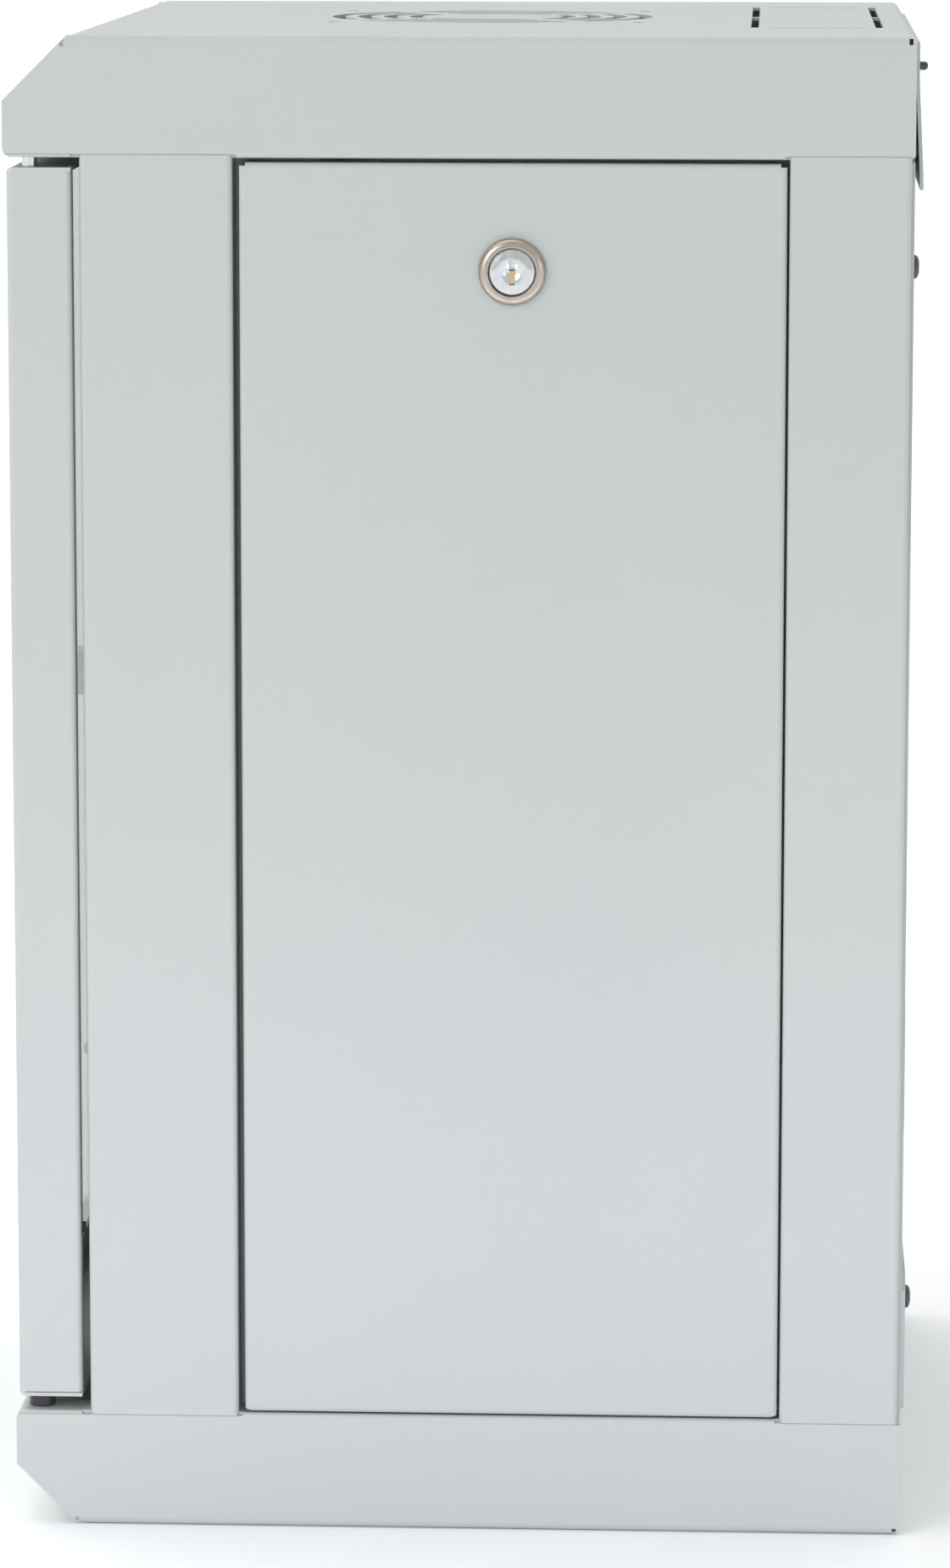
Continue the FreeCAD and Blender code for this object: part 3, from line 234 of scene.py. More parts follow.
class Value:
    """A number that varies, carried by a socket, with the usual operators."""

    def __init__(self, graph: Graph, socket: bpy.types.NodeSocket) -> None:
        """Wraps a socket of a graph."""
        self.graph = graph
        self.socket = socket

    def _maths(self, operation: str, *terms: "Value | float") -> "Value":
        """Adds a Math node on these terms."""
        node = self.graph.node(
            "ShaderNodeMath", {"operation": operation}, dict(enumerate(terms))
        )
        return Value(self.graph, node.outputs[0])

    def __add__(self, other: "Value | float") -> "Value":
        """self + other"""
        return self._maths("ADD", self, other)

    __radd__ = __add__

    def __sub__(self, other: "Value | float") -> "Value":
        """self - other"""
        return self._maths("SUBTRACT", self, other)

    def __rsub__(self, other: float) -> "Value":
        """other - self"""
        return self._maths("SUBTRACT", other, self)

    def __mul__(self, other: "Value | float") -> "Value":
        """self * other"""
        return self._maths("MULTIPLY", self, other)

    __rmul__ = __mul__

    def absolute(self) -> "Value":
        """The number without its sign."""
        return self._maths("ABSOLUTE", self)

    def between(self, low: float, high: float) -> "Value":
        """A smooth step from 0 at low to 1 at high.

        Args:
            low: Where the step starts; above high, the step runs down.
            high: Where it ends.

        Returns:
            The step's value.
        """
        node = self.graph.node(
            "ShaderNodeMapRange",
            {"interpolation_type": "SMOOTHSTEP"},
            {"Value": self, "From Min": low, "From Max": high},
        )
        return Value(self.graph, node.outputs[0])


class Surface(Graph):
    """The node graph of one finish, on Object coordinates."""

    def __init__(self, name: str) -> None:
        """Makes an empty material of this name."""
        self.material = bpy.data.materials.new(name)
        self.material.use_nodes = True
        super().__init__(self.material.node_tree)
        self.tree.nodes.clear()
        self.shader = self.node("ShaderNodeBsdfPrincipled")
        self.node("ShaderNodeOutputMaterial", None, {"Surface": self.shader})
        self.object = self.node("ShaderNodeTexCoord").outputs["Object"]

    def stretched(self, scale: Colour, turn: Colour = (0, 0, 0)) -> Any:
        """Object coordinates stretched and turned.

        Args:
            scale: How much finer the pattern is along each axis.
            turn: The pattern's turn in radians.

        Returns:
            The socket of the new coordinates.
        """
        node = self.node(
            "ShaderNodeMapping",
            None,
            {"Vector": self.object, "Scale": scale, "Rotation": turn},
        )
        return node.outputs[0]

    def noise(
        self, size: float, detail: float = 2.0, seed: float = 0.0, over: Any = None
    ) -> Value:
        """Noise from 0 to 1.

        Args:
            size: The size of its features in metres.
            detail: How many finer octaves it has.
            seed: Another seed gives another pattern.
            over: The coordinates, or None for Object coordinates.

        Returns:
            The noise.
        """
        node = self.node(
            "ShaderNodeTexNoise",
            {"noise_dimensions": "4D"},
            {
                "Vector": over or self.object,
                "W": seed,
                "Scale": 1 / size,
                "Detail": detail,
                "Roughness": 0.55,
            },
        )
        return self.value(node.outputs[0])

    def blended(self, factor: Value, first: Colour, second: Colour) -> Any:
        """The socket of a colour between two, by a factor."""
        return self.layered(factor, (*first, 1), second)

    def layered(self, factor: Value, under: Any, over: Colour) -> Any:
        """The socket of a colour laid over another one by a factor."""
        node = self.node(
            "ShaderNodeMix",
            {"data_type": "RGBA"},
            {"Factor": factor, 6: under, 7: (*over, 1)},
        )
        return node.outputs[2]

    def bump(self, height: Value, depth: float, under: Any = None) -> Any:
        """A bump.

        Args:
            height: The relief, from 0 to 1.
            depth: How deep it is in metres.
            under: The normal of another bump below this one.

        Returns:
            The socket of the new normal.
        """
        inputs = {"Height": height, "Distance": depth, "Strength": 1.0}
        if under is not None:
            inputs["Normal"] = under
        return self.node("ShaderNodeBump", None, inputs).outputs[0]

    def set(self, **inputs: Any) -> None:
        """Feeds the shader: Base_Color stands for its Base Color, and so on."""
        for name, content in inputs.items():
            self.feed(self.shader.inputs[name.replace("_", " ")], content)


# ---------------------------------------------------------------- finishes


@dataclass(frozen=True)
class PowderCoat:
    """Fine satin powder coat with its orange peel, a few nibs, faint drifts and painted
    shade along the post joints.
    """

    light: Colour = (0.475, 0.502, 0.482)
    dark: Colour = (0.465, 0.494, 0.476)
    nib: Colour = (0.33, 0.34, 0.33)
    roughness: float = 0.46
    peel_size: float = 1.5 * MM
    grain_size: float = 0.32 * MM
    peel_depth: float = 0.006 * MM
    # The colour, width and strength of the painted shade line along the post joints.
    seam_shade: Colour = (0.20, 0.21, 0.20)
    seam_shade_width: float = 0.5 * MM
    seam_shade_strength: float = 0.55
    panel_seat: float = 12.0 * MM
    nib_density: float = 14.0

    def _painted_seam_shade(self, surface: Surface) -> Value:
        """Painted shade: a thin darker line where the posts' faces run into the cap and
        the base.
        """
        parts = surface.node("ShaderNodeSeparateXYZ", None, {0: surface.object})
        across, depth, height = (surface.value(out) for out in parts.outputs)
        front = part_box("front_post_right")
        face_end = front[1].y - self.panel_seat
        face_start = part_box("rear_post_right")[0].y + self.panel_seat
        width = self.seam_shade_width
        seam_shade_lines: Any = None
        for level in (front[0].z, front[1].z):
            line = (height - level).absolute().between(width * 0.6, width * 0.2)
            seam_shade_lines = line if seam_shade_lines is None else seam_shade_lines + line
        posts = depth.between(face_end, face_end - width) + depth.between(
            face_start, face_start + width
        )
        outer = across.absolute().between(
            front[1].x - 0.4 * MM, front[1].x - 0.2 * MM
        )
        return seam_shade_lines * posts * outer * self.seam_shade_strength

    def build(self, surface: Surface) -> None:
        """Makes the finish's nodes."""
        drift = surface.noise(0.11, 2)
        cloud = surface.noise(2.2 * MM, 2, 3.0)
        tone = (drift * 0.75 + cloud * 0.25).between(0.35, 0.65)
        coat = surface.blended(tone, self.dark, self.light)
        cells = surface.node(
            "ShaderNodeTexVoronoi",
            None,
            {"Vector": surface.object, "Scale": self.nib_density},
        )
        picked = surface.node("ShaderNodeSeparateColor", None, {0: cells.outputs[1]})
        chosen = surface.value(picked.outputs[0]).between(0.80, 0.82)
        speck = surface.value(cells.outputs[0]).between(0.0105, 0.004)
        coat = surface.layered(chosen * speck * 0.8, coat, self.nib)
        # Painted shade: a thin dark line laid along each post joint.
        coat = surface.layered(self._painted_seam_shade(surface), coat, self.seam_shade)
        peel = surface.noise(self.peel_size, 1, 7.0)
        grain = surface.noise(self.grain_size, 1, 9.0)
        relief = peel * 0.7 + grain * 0.3
        surface.set(
            Base_Color=coat,
            Roughness=self.roughness - 0.05 + 0.1 * cloud,
            Specular_IOR_Level=0.42,
            Normal=surface.bump(relief, self.peel_depth),
        )


@dataclass(frozen=True)
class Metal:
    """Bare or plated metal with a fine grain, scratches and patches."""

    light: Colour
    dark: Colour
    roughness: float
    grain: Colour = (1.0, 1.0, 1.0)
    patch: float = 6 * MM
    scratch_depth: float = 0.004 * MM
    spread: float = 0.10

    def build(self, surface: Surface) -> None:
        """Makes the finish's nodes."""
        patches = surface.noise(self.patch, 3)
        fine = surface.noise(0.25 * MM, 2, 4.0, surface.stretched(self.grain))
        tone = (patches * 0.7 + fine * 0.3).between(0.32, 0.68)
        surface.set(
            Base_Color=surface.blended(tone, self.dark, self.light),
            Metallic=1.0,
            Roughness=self.roughness - self.spread / 2 + self.spread * patches,
            Normal=surface.bump(fine, self.scratch_depth),
        )


@dataclass(frozen=True)
class Moulded:
    """A dull black moulding: rubber, foam, nylon or oxide, by its grain."""

    light: Colour
    dark: Colour
    roughness: float
    grain: float
    depth: float
    specular: float = 0.4

    def build(self, surface: Surface) -> None:
        """Makes the finish's nodes."""
        cloud = surface.noise(5 * MM, 3)
        grain = surface.noise(self.grain, 2, 5.0)
        tone = (cloud * 0.6 + grain * 0.4).between(0.3, 0.7)
        surface.set(
            Base_Color=surface.blended(tone, self.dark, self.light),
            Roughness=self.roughness - 0.06 + 0.12 * cloud,
            Specular_IOR_Level=self.specular,
            Normal=surface.bump(grain, self.depth),
        )


@dataclass(frozen=True)
class SmokedGlass:
    """Toughened glass, lightly smoked, with a few faint wipe marks."""

    light: Colour = (0.055, 0.062, 0.064)
    dark: Colour = (0.040, 0.046, 0.048)
    alpha: float = 0.42

    def build(self, surface: Surface) -> None:
        """Makes the finish's nodes."""
        wipe = surface.noise(30 * MM, 3, 1.0, surface.stretched((1.0, 1.0, 0.35)))
        surface.set(
            Base_Color=surface.blended(wipe, self.dark, self.light),
            Roughness=0.02 + 0.05 * wipe,
            Specular_IOR_Level=0.8,
            Alpha=self.alpha,
        )


FINISHES: dict[Slot, Any] = {
    Slot.POWDER: PowderCoat(),
    Slot.ZINC: Metal((0.66, 0.67, 0.66), (0.54, 0.55, 0.56), 0.38),
    Slot.SATIN_NICKEL: Metal(
        (0.50, 0.455, 0.40), (0.44, 0.395, 0.34), 0.27, patch=3 * MM
    ),
    Slot.BRIGHT_NICKEL: Metal(
        (0.70, 0.73, 0.74), (0.60, 0.62, 0.63), 0.17, patch=2 * MM
    ),
    Slot.SPRING: Metal((0.46, 0.46, 0.47), (0.34, 0.34, 0.35), 0.30, patch=2 * MM),
    Slot.GLASS: SmokedGlass(),
    Slot.FOAM: Moulded(
        (0.035, 0.035, 0.036), (0.02, 0.02, 0.02), 0.9, 0.5 * MM, 0.1 * MM, 0.2
    ),
    Slot.RUBBER: Moulded(
        (0.030, 0.030, 0.031), (0.02, 0.02, 0.02), 0.62, 0.3 * MM, 0.01 * MM
    ),
    Slot.PLASTIC: Moulded(
        (0.045, 0.042, 0.045), (0.03, 0.028, 0.03), 0.42, 0.2 * MM, 0.005 * MM
    ),
    Slot.BLACK_STEEL: Moulded(
        (0.050, 0.047, 0.045), (0.025, 0.024, 0.024), 0.36, 0.2 * MM, 0.004 * MM, 0.7
    ),
    Slot.BRASS: Metal((0.74, 0.58, 0.32), (0.58, 0.44, 0.22), 0.30, patch=2 * MM),
}


class Palette:
    """The materials, one for each finish."""

    def __init__(self) -> None:
        """Builds every finish."""
        self.materials: dict[Slot, bpy.types.Material] = {}
        for slot, finish in FINISHES.items():
            surface = Surface("finish_" + slot.value)
            finish.build(surface)
            self.materials[slot] = surface.material

    def dress(self, piece: bpy.types.Object, slot: Slot) -> None:
        """Gives a whole piece one finish."""
        material = self.materials[slot]
        if not piece.material_slots:
            piece.data.materials.append(material)
        for entry in piece.material_slots:
            entry.link = "OBJECT"
            entry.material = material


# ---------------------------------------------------------------- meshes


def smoothed(mesh: bpy.types.Mesh, angle: float = 35.0) -> None:
    """Shades a mesh smooth, with its folds sharper than an angle in degrees kept."""
    mesh.shade_smooth()
    mesh.set_sharp_from_angle(angle=math.radians(angle))


def link(name: str, data: bpy.types.ID | None) -> bpy.types.Object:
    """Makes an object in the scene."""
    made = bpy.data.objects.new(name, data)
    bpy.context.scene.collection.objects.link(made)
    return made


def polar(radius: float, turn: float) -> tuple[float, float]:
    """The point at a radius and a share of a whole turn."""
    return radius * math.cos(math.tau * turn), radius * math.sin(math.tau * turn)


class Solid:
    """A mesh that is put together from turned and extruded shapes."""

    def __init__(self) -> None:
        """Starts empty."""
        self.shape = bmesh.new()

    def turned(
        self,
        profile: Sequence[tuple[float, float]],
        segments: int = 48,
        place: Matrix = Matrix.Identity(4),
    ) -> "Solid":
        """Adds a shape turned about Z.

        Args:
            profile: Radius and height of each point; the line closes on itself
                unless it starts and ends on the axis.
            segments: How many steps one turn has.
            place: Where the shape goes.

        Returns:
            This solid.
        """
        rings = []
        for radius, height in profile:
            count = 1 if radius < 1e-9 else segments
            ring = [(*polar(radius, k / segments), height) for k in range(count)]
            rings.append([self.shape.verts.new(place @ Vector(at)) for at in ring])
        pairs = list(zip(rings, rings[1:]))
        if len(rings[0]) > 1 or len(rings[-1]) > 1:
            pairs.append((rings[-1], rings[0]))
        for lower, upper in pairs:
            self._band(lower, upper, segments)
        return self

    def _band(self, lower: list, upper: list, segments: int) -> None:
        """Joins two rings, either of which may be a single point."""
        for k in range(segments):
            corners = [
                lower[k % len(lower)],
                lower[(k + 1) % len(lower)],
                upper[(k + 1) % len(upper)],
                upper[k % len(upper)],
            ]
            distinct = list(dict.fromkeys(corners))
            if len(distinct) > 2:
                self.shape.faces.new(distinct)

    def extruded(
        self,
        outline: Sequence[tuple[float, float]],
        low: float,
        high: float,
        place: Matrix = Matrix.Identity(4),
        taper: float = 1.0,
    ) -> "Solid":
        """Adds a prism along Z.

        Args:
            outline: The corners of its section.
            low: The height of its foot.
            high: The height of its top.
            place: Where the shape goes.
            taper: The size of the top against the foot's.

        Returns:
            This solid.
        """
        foot = [self.shape.verts.new(place @ Vector((x, y, low))) for x, y in outline]
        top = [
            self.shape.verts.new(place @ Vector((x * taper, y * taper, high)))
            for x, y in outline
        ]
        count = len(outline)
        self.shape.faces.new(foot[::-1])
        self.shape.faces.new(top)
        for k in range(count):
            self.shape.faces.new(
                [foot[k], foot[(k + 1) % count], top[(k + 1) % count], top[k]]
            )
        return self

    def mesh(self, name: str) -> bpy.types.Mesh:
        """Closes the solid into a mesh with its faces outwards."""
        bmesh.ops.remove_doubles(self.shape, verts=self.shape.verts, dist=1e-7)
        bmesh.ops.recalc_face_normals(self.shape, faces=self.shape.faces)
        made = bpy.data.meshes.new(name)
        self.shape.to_mesh(made)
        self.shape.free()
        return made

    def object(self, name: str) -> bpy.types.Object:
        """Closes the solid into an object of its own."""
        made = self.mesh(name)
        smoothed(made)
        return link(name, made)


def rounded(
    start: tuple[float, float], end: tuple[float, float], steps: int = 6
) -> list[tuple[float, float]]:
    """A quarter of an ellipse for a turned profile.

    Args:
        start: Where it leaves upwards: radius and height.
        end: Where it arrives level.
        steps: How many straight pieces it has.

    Returns:
        Its points, both ends included.
    """
    points = []
    for k in range(steps + 1):
        turn = math.pi / 2 * k / steps
        points.append(
            (
                end[0] + (start[0] - end[0]) * math.cos(turn),
                start[1] + (end[1] - start[1]) * math.sin(turn),
            )
        )
    return points


def polygon(sides: int, across_flats: float) -> list[tuple[float, float]]:
    """The corners of a regular polygon."""
    reach = across_flats / 2 / math.cos(math.pi / sides)
    return [polar(reach, (k + 0.5) / sides) for k in range(sides)]


def rectangle(width: float, height: float) -> list[tuple[float, float]]:
    """The corners of a rectangle about the origin."""
    x, y = width / 2, height / 2
    return [(-x, -y), (x, -y), (x, y), (-x, y)]


def evaluated(host: bpy.types.Object, name: str) -> bpy.types.Mesh:
    """The plain mesh of an object with its modifiers, which is then removed."""
    graph = bpy.context.evaluated_depsgraph_get()
    made = bpy.data.meshes.new_from_object(host.evaluated_get(graph))
    made.name = name
    bpy.data.objects.remove(host)
    return made


def carved(
    body: bpy.types.Object,
    cutter: bpy.types.Object,
    angle: float = 35.0,
    operation: str = "DIFFERENCE",
) -> bpy.types.Object:
    """A body with another one cut out of it; both are used up.

    Args:
        body: What is cut.
        cutter: What is taken away, or kept to.
        angle: The fold in degrees past which an edge stays sharp.
        operation: INTERSECT keeps what both share instead.

    Returns:
        The cut body as a new object.
    """
    name = body.name
    cut = body.modifiers.new("cut", "BOOLEAN")
    cut.operation = operation
    cut.solver = "EXACT"
    cut.object = cutter
    made = evaluated(body, name)
    bpy.data.objects.remove(cutter)
    smoothed(made, angle)
    return link(name, made)


class GeometryTree(Graph):
    """A geometry node tree with named sizes, which makes one plain mesh."""

    SOCKETS = {
        float: "NodeSocketFloat",
        int: "NodeSocketInt",
        bpy.types.Object: "NodeSocketObject",
    }

    def __init__(self, name: str, **sizes: Any) -> None:
        """Makes the tree.

        Args:
            name: The tree's name.
            sizes: Its inputs by name with the values they take.
        """
        tree = bpy.data.node_groups.new(name, "GeometryNodeTree")
        super().__init__(tree)
        self.sizes = sizes
        tree.interface.new_socket(
            "Geometry", in_out="OUTPUT", socket_type="NodeSocketGeometry"
        )
        for label, size in sizes.items():
            tree.interface.new_socket(
                label, in_out="INPUT", socket_type=self.SOCKETS[type(size)]
            )
        self.entry = self.node("NodeGroupInput")

    def size(self, label: str) -> Value:
        """One of the tree's named inputs."""
        return self.value(self.entry.outputs[label])

    def sized(self, kind: str, labels: dict[str, str]) -> bpy.types.Node:
        """Adds a node whose sockets each take one of the tree's named inputs."""
        return self.node(
            kind, None, {socket: self.size(label) for socket, label in labels.items()}
        )

    def mesh(self, geometry: Any, name: str) -> bpy.types.Mesh:
        """Ends the tree and makes its mesh.

        Args:
            geometry: The socket or node of the tree's result.
            name: The mesh's name.

        Returns:
            The plain mesh, with no instance left in it.
        """
        real = self.node("GeometryNodeRealizeInstances", None, {0: geometry})
        self.node("NodeGroupOutput", None, {0: real})
        host = link("host", bpy.data.meshes.new("host"))
        run = host.modifiers.new("shape", "NODES")
        run.node_group = self.tree
        for item in self.tree.interface.items_tree:
            if item.in_out == "INPUT":
                run[item.identifier] = self.sizes[item.name]
        made = evaluated(host, name)
        smoothed(made)
        return made


@dataclass
class Coil:
    """A wire that winds up along Z: a spring, or the ridge of a screw's thread."""

    radius: float
    pitch: float
    turns: float
    wire: float
    sides: int = 12
    steps: int = 36

    def mesh(self, name: str) -> bpy.types.Mesh:
        """Winds the wire into a mesh of this name, its foot at Z 0."""
        tree = GeometryTree(
            "coil",
            Radius=self.radius,
            Height=self.pitch * self.turns,
            Turns=float(self.turns),
            Wire=self.wire,
            Sides=self.sides,
            Steps=self.steps,
        )
        line = tree.sized(
            "GeometryNodeCurveSpiral",
            {
                "Resolution": "Steps",
                "Rotations": "Turns",
                "Start Radius": "Radius",
                "End Radius": "Radius",
                "Height": "Height",
            },
        )
        section = tree.sized(
            "GeometryNodeCurvePrimitiveCircle",
            {"Resolution": "Sides", "Radius": "Wire"},
        )
        swept = tree.node(
            "GeometryNodeCurveToMesh",
            None,
            {"Curve": line, "Profile Curve": section.outputs[0], "Fill Caps": True},
        )
        return tree.mesh(swept, name)


@dataclass
class Pattern:
    """A fastener that repeats over a grid on one plane."""

    across: float
    up: float
    columns: int = 2
    rows: int = 2
    spin: float = math.pi
    seed: int = 11

    def mesh(self, name: str, unit: bpy.types.Object) -> bpy.types.Mesh:
        """Repeats a fastener, each turned by its own amount.

        Args:
            name: The mesh's name.
            unit: The fastener, built along +Z. It is used up.

        Returns:
            The mesh of the whole pattern, centred on the origin.
        """
        tree = GeometryTree(
            "pattern",
            Across=self.across,
            Up=self.up,
            Columns=self.columns,
            Rows=self.rows,
            Spin=self.spin,
            Seed=self.seed,
            Unit=unit,
        )
        grid = tree.sized(
            "GeometryNodeMeshGrid",
            {
                "Size X": "Across",
                "Size Y": "Up",
                "Vertices X": "Columns",
                "Vertices Y": "Rows",
            },
        )
        shape = tree.sized("GeometryNodeObjectInfo", {"Object": "Unit"})
        turn = tree.node(
            "FunctionNodeRandomValue",
            {"data_type": "FLOAT"},
            {"Max": tree.size("Spin"), "Seed": tree.size("Seed")},
        )
        angles = tree.node("ShaderNodeCombineXYZ", None, {"Z": turn.outputs[1]})
        copies = tree.node(
            "GeometryNodeInstanceOnPoints",
            None,
            {
                "Points": grid.outputs[0],
                "Instance": shape.outputs["Geometry"],
                "Rotation": angles,
            },
        )
        made = tree.mesh(copies, name)
        bpy.data.objects.remove(unit)
        return made


# ---------------------------------------------------------------- assembly


class Workshop:
    """What every sub-assembly works with: the frame, the finishes and the log."""

    def __init__(self) -> None:
        """Loads the frame and builds the finishes."""
        self.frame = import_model()
        self.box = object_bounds()
        self.palette = Palette()

    def dress_nodes(self) -> None:
        """Gives every node of the frame the finish that its record names."""
        for part in self.frame["record"]["subparts"]:
            node = self.frame["nodes"][part["node"]]
            self.palette.dress(node, Slot(part["material_slot"]))

    def add(
        self,
        mesh: bpy.types.Mesh,
        name: str,
        body: str,
        slot: Slot,
        replaces: Iterable[str] = (),
        place: Matrix = Matrix.Identity(4),
    ) -> bpy.types.Object:
        """Puts a finished piece into the model.

        Args:
            mesh: Its mesh.
            name: Its name.
            body: The body that it rides on.
            slot: Its finish.
            replaces: The nodes that it stands for.
            place: Where it goes.

        Returns:
            The piece's object, at the origin.
        """
        mesh.transform(place)
        mesh.name = name
        piece = link(name, mesh)
        mesh.materials.clear()
        self.palette.dress(piece, slot)
        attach(piece, body)
        if replaces:
            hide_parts(*replaces)
        LOG.info("%s rides on %s: %d faces", name, body, len(mesh.polygons))
        return piece


def foot_of(node: str) -> Vector:
    """The middle of the underside of a node's box."""
    low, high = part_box(node)
    return Vector(((low.x + high.x) / 2, (low.y + high.y) / 2, low.z))


def take_mesh(piece: bpy.types.Object) -> bpy.types.Mesh:
    """A piece's mesh, whose object is removed."""
    mesh = piece.data
    bpy.data.objects.remove(piece)
    return mesh


def joined(meshes: Sequence[bpy.types.Mesh], name: str) -> bpy.types.Mesh:
    """Several meshes as one."""
    whole = bmesh.new()
    for mesh in meshes:
        whole.from_mesh(mesh)
    made = bpy.data.meshes.new(name)
    whole.to_mesh(made)
    whole.free()
    smoothed(made)
    return made


@dataclass
class CamLock:
    """A cam lock: its domed ring and threaded barrel, and its keyed plug."""

    node: str
    side: Side
    housing_body: str
    plug_body: str
    ring_radius: float = 11.15 * MM
    ring_height: float = 3.0 * MM
    crown_radius: float = 8.35 * MM
    bore_radius: float = 7.95 * MM
    barrel_radius: float = 9.3 * MM
    plug_radius: float = 7.7 * MM
    plug_height: float = 2.55 * MM
    dish_radius: float = 2.9 * MM
    dish_depth: float = 1.1 * MM
    slot_width: float = 1.9 * MM
    slot_height: float = 8.4 * MM
    slot_depth: float = 6.0 * MM
    tail_width: float = 6.9 * MM
    wafers: int = 4
    segments: int = 96

    def build(self, shop: Workshop) -> None:
        """Makes the lock's pieces."""
        reach, _, crown = self.side.ends(self.node + "_lock_housing")
        length = reach - self.ring_height
        place = self.side.place(crown - Vector(self.side.value) * self.ring_height)
        self._housing(shop, place, length)
        self._plug(shop, place, length)
        self._fixings(shop)

    def _fixings(self, shop: Workshop) -> None:
        """The flat nut on the barrel and the screw that holds the cam."""
        node = self.node + "_lock_nut"
        depth, foot, _ = self.side.ends(node)
        low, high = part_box(node)
        nut = HexNut(high.z - low.z, depth, self.barrel_radius + 0.02 * MM)
        shop.add(
            take_mesh(nut.unit()), self.node + "_lock_hexagon", self.housing_body,
            Slot.ZINC, [node], self.side.place(foot),
        )
        node = self.node + "_cam_screw"
        height, _, seat = self.side.ends(node)
        shop.add(
            FlangedScrew().mesh(height), self.node + "_cam_fixing", self.plug_body,
            Slot.ZINC, [node], self.side.opposite().place(seat),
        )

    def _housing(self, shop: Workshop, place: Matrix, length: float) -> None:
        """The domed ring, the barrel and its thread."""
        dome = rounded(
            (self.ring_radius, 0.45 * MM), (self.crown_radius, self.ring_height), 12
        )
        rim = (self.crown_radius - 0.2 * MM, self.ring_height)
        mouth = rounded((self.bore_radius, self.ring_height - 0.25 * MM), rim, 3)[::-1]
        profile = [
            (self.ring_radius - 0.15 * MM, 0.0),
            (self.ring_radius, 0.15 * MM),
            *dome,
            *mouth,
            (self.bore_radius, -length),
            (self.barrel_radius - 0.4 * MM, -length),
            (self.barrel_radius, -length + 0.4 * MM),
            (self.barrel_radius, 0.0),
        ]
        shell = Solid().turned(profile, self.segments).mesh("shell")
        pitch = 0.9 * MM
        turns = (length - 1.5 * MM) / pitch
        thread = Coil(self.barrel_radius - 0.25 * MM, pitch, turns, 0.42 * MM, 3)
        ridge = thread.mesh("thread")
        ridge.transform(Matrix.Translation((0, 0, -length + 0.8 * MM)))
        shop.add(
            joined([shell, ridge], "housing"), self.node + "_lock_ring",
            self.housing_body, Slot.SATIN_NICKEL, [self.node + "_lock_housing"],
            place,
        )

    def _plug(self, shop: Workshop, place: Matrix, length: float) -> None:
        """The plug with its dished face, keyway and square tail, and its wafers."""
        top = self.plug_height
        profile = [
            (0.0, top - self.dish_depth),
            (self.dish_radius * 0.45, top - self.dish_depth),
            (self.dish_radius * 0.98, top - 0.08 * MM),
            (self.dish_radius * 1.06, top - 0.01 * MM),
            (self.plug_radius - 1.15 * MM, top),
            (self.plug_radius - 0.95 * MM, top - 0.12 * MM),
            (self.plug_radius - 0.45 * MM, top - 0.14 * MM),
            (self.plug_radius, top - 0.6 * MM),
            (self.plug_radius, -length),
            (0.0, -length),
        ]
        plug = Solid().turned(profile, self.segments).object("plug")
        keyway = Solid().extruded(
            rectangle(self.slot_width, self.slot_height),
            top - self.slot_depth,
            top + MM,
        )
        body = take_mesh(carved(plug, keyway.object("keyway"), 30))
        reach = self.side.ends(self.node + "_lock_plug")[0]
        tail = Solid().extruded(
            rectangle(self.tail_width, self.tail_width), top - reach, -length + 0.1 * MM
        )
        shop.add(
            joined([body, tail.mesh("tail")], "plug"), self.node + "_lock_core",
            self.plug_body, Slot.BRIGHT_NICKEL, [self.node + "_lock_plug"], place,
        )
        stack = Solid()
        for k in range(self.wafers):
            depth = top - self.dish_depth - (0.25 + 1.05 * k) * MM
            bottom = (-3.6 + 0.35 * (k % 2)) * MM
            middle = Matrix.Translation((0, (bottom + 0.35 * MM) / 2, 0))
            wafer = rectangle(self.slot_width + 0.02 * MM, 0.35 * MM - bottom)
            stack.extruded(wafer, depth - 0.55 * MM, depth, middle)
        shop.add(
            stack.mesh("wafers"), self.node + "_lock_wafers", self.plug_body,
            Slot.BRASS, (), place,
        )


def threaded(
    shank: bpy.types.Mesh, radius: float, low: float, high: float, pitch: float
) -> bpy.types.Mesh:
    """A shank with its rolled thread.

    Args:
        shank: The plain shank's mesh, along Z.
        radius: The shank's radius.
        low: Where the thread starts.
        high: Where it ends.
        pitch: From one turn to the next.

    Returns:
        Both as one mesh.
    """
    turns = (high - low) / pitch
    ridge = Coil(radius - 0.1 * MM, pitch, turns, 0.4 * pitch, 3, 24)
    thread = ridge.mesh("thread")
    thread.transform(Matrix.Translation((0, 0, low)))
    return joined([shank, thread], "threaded")


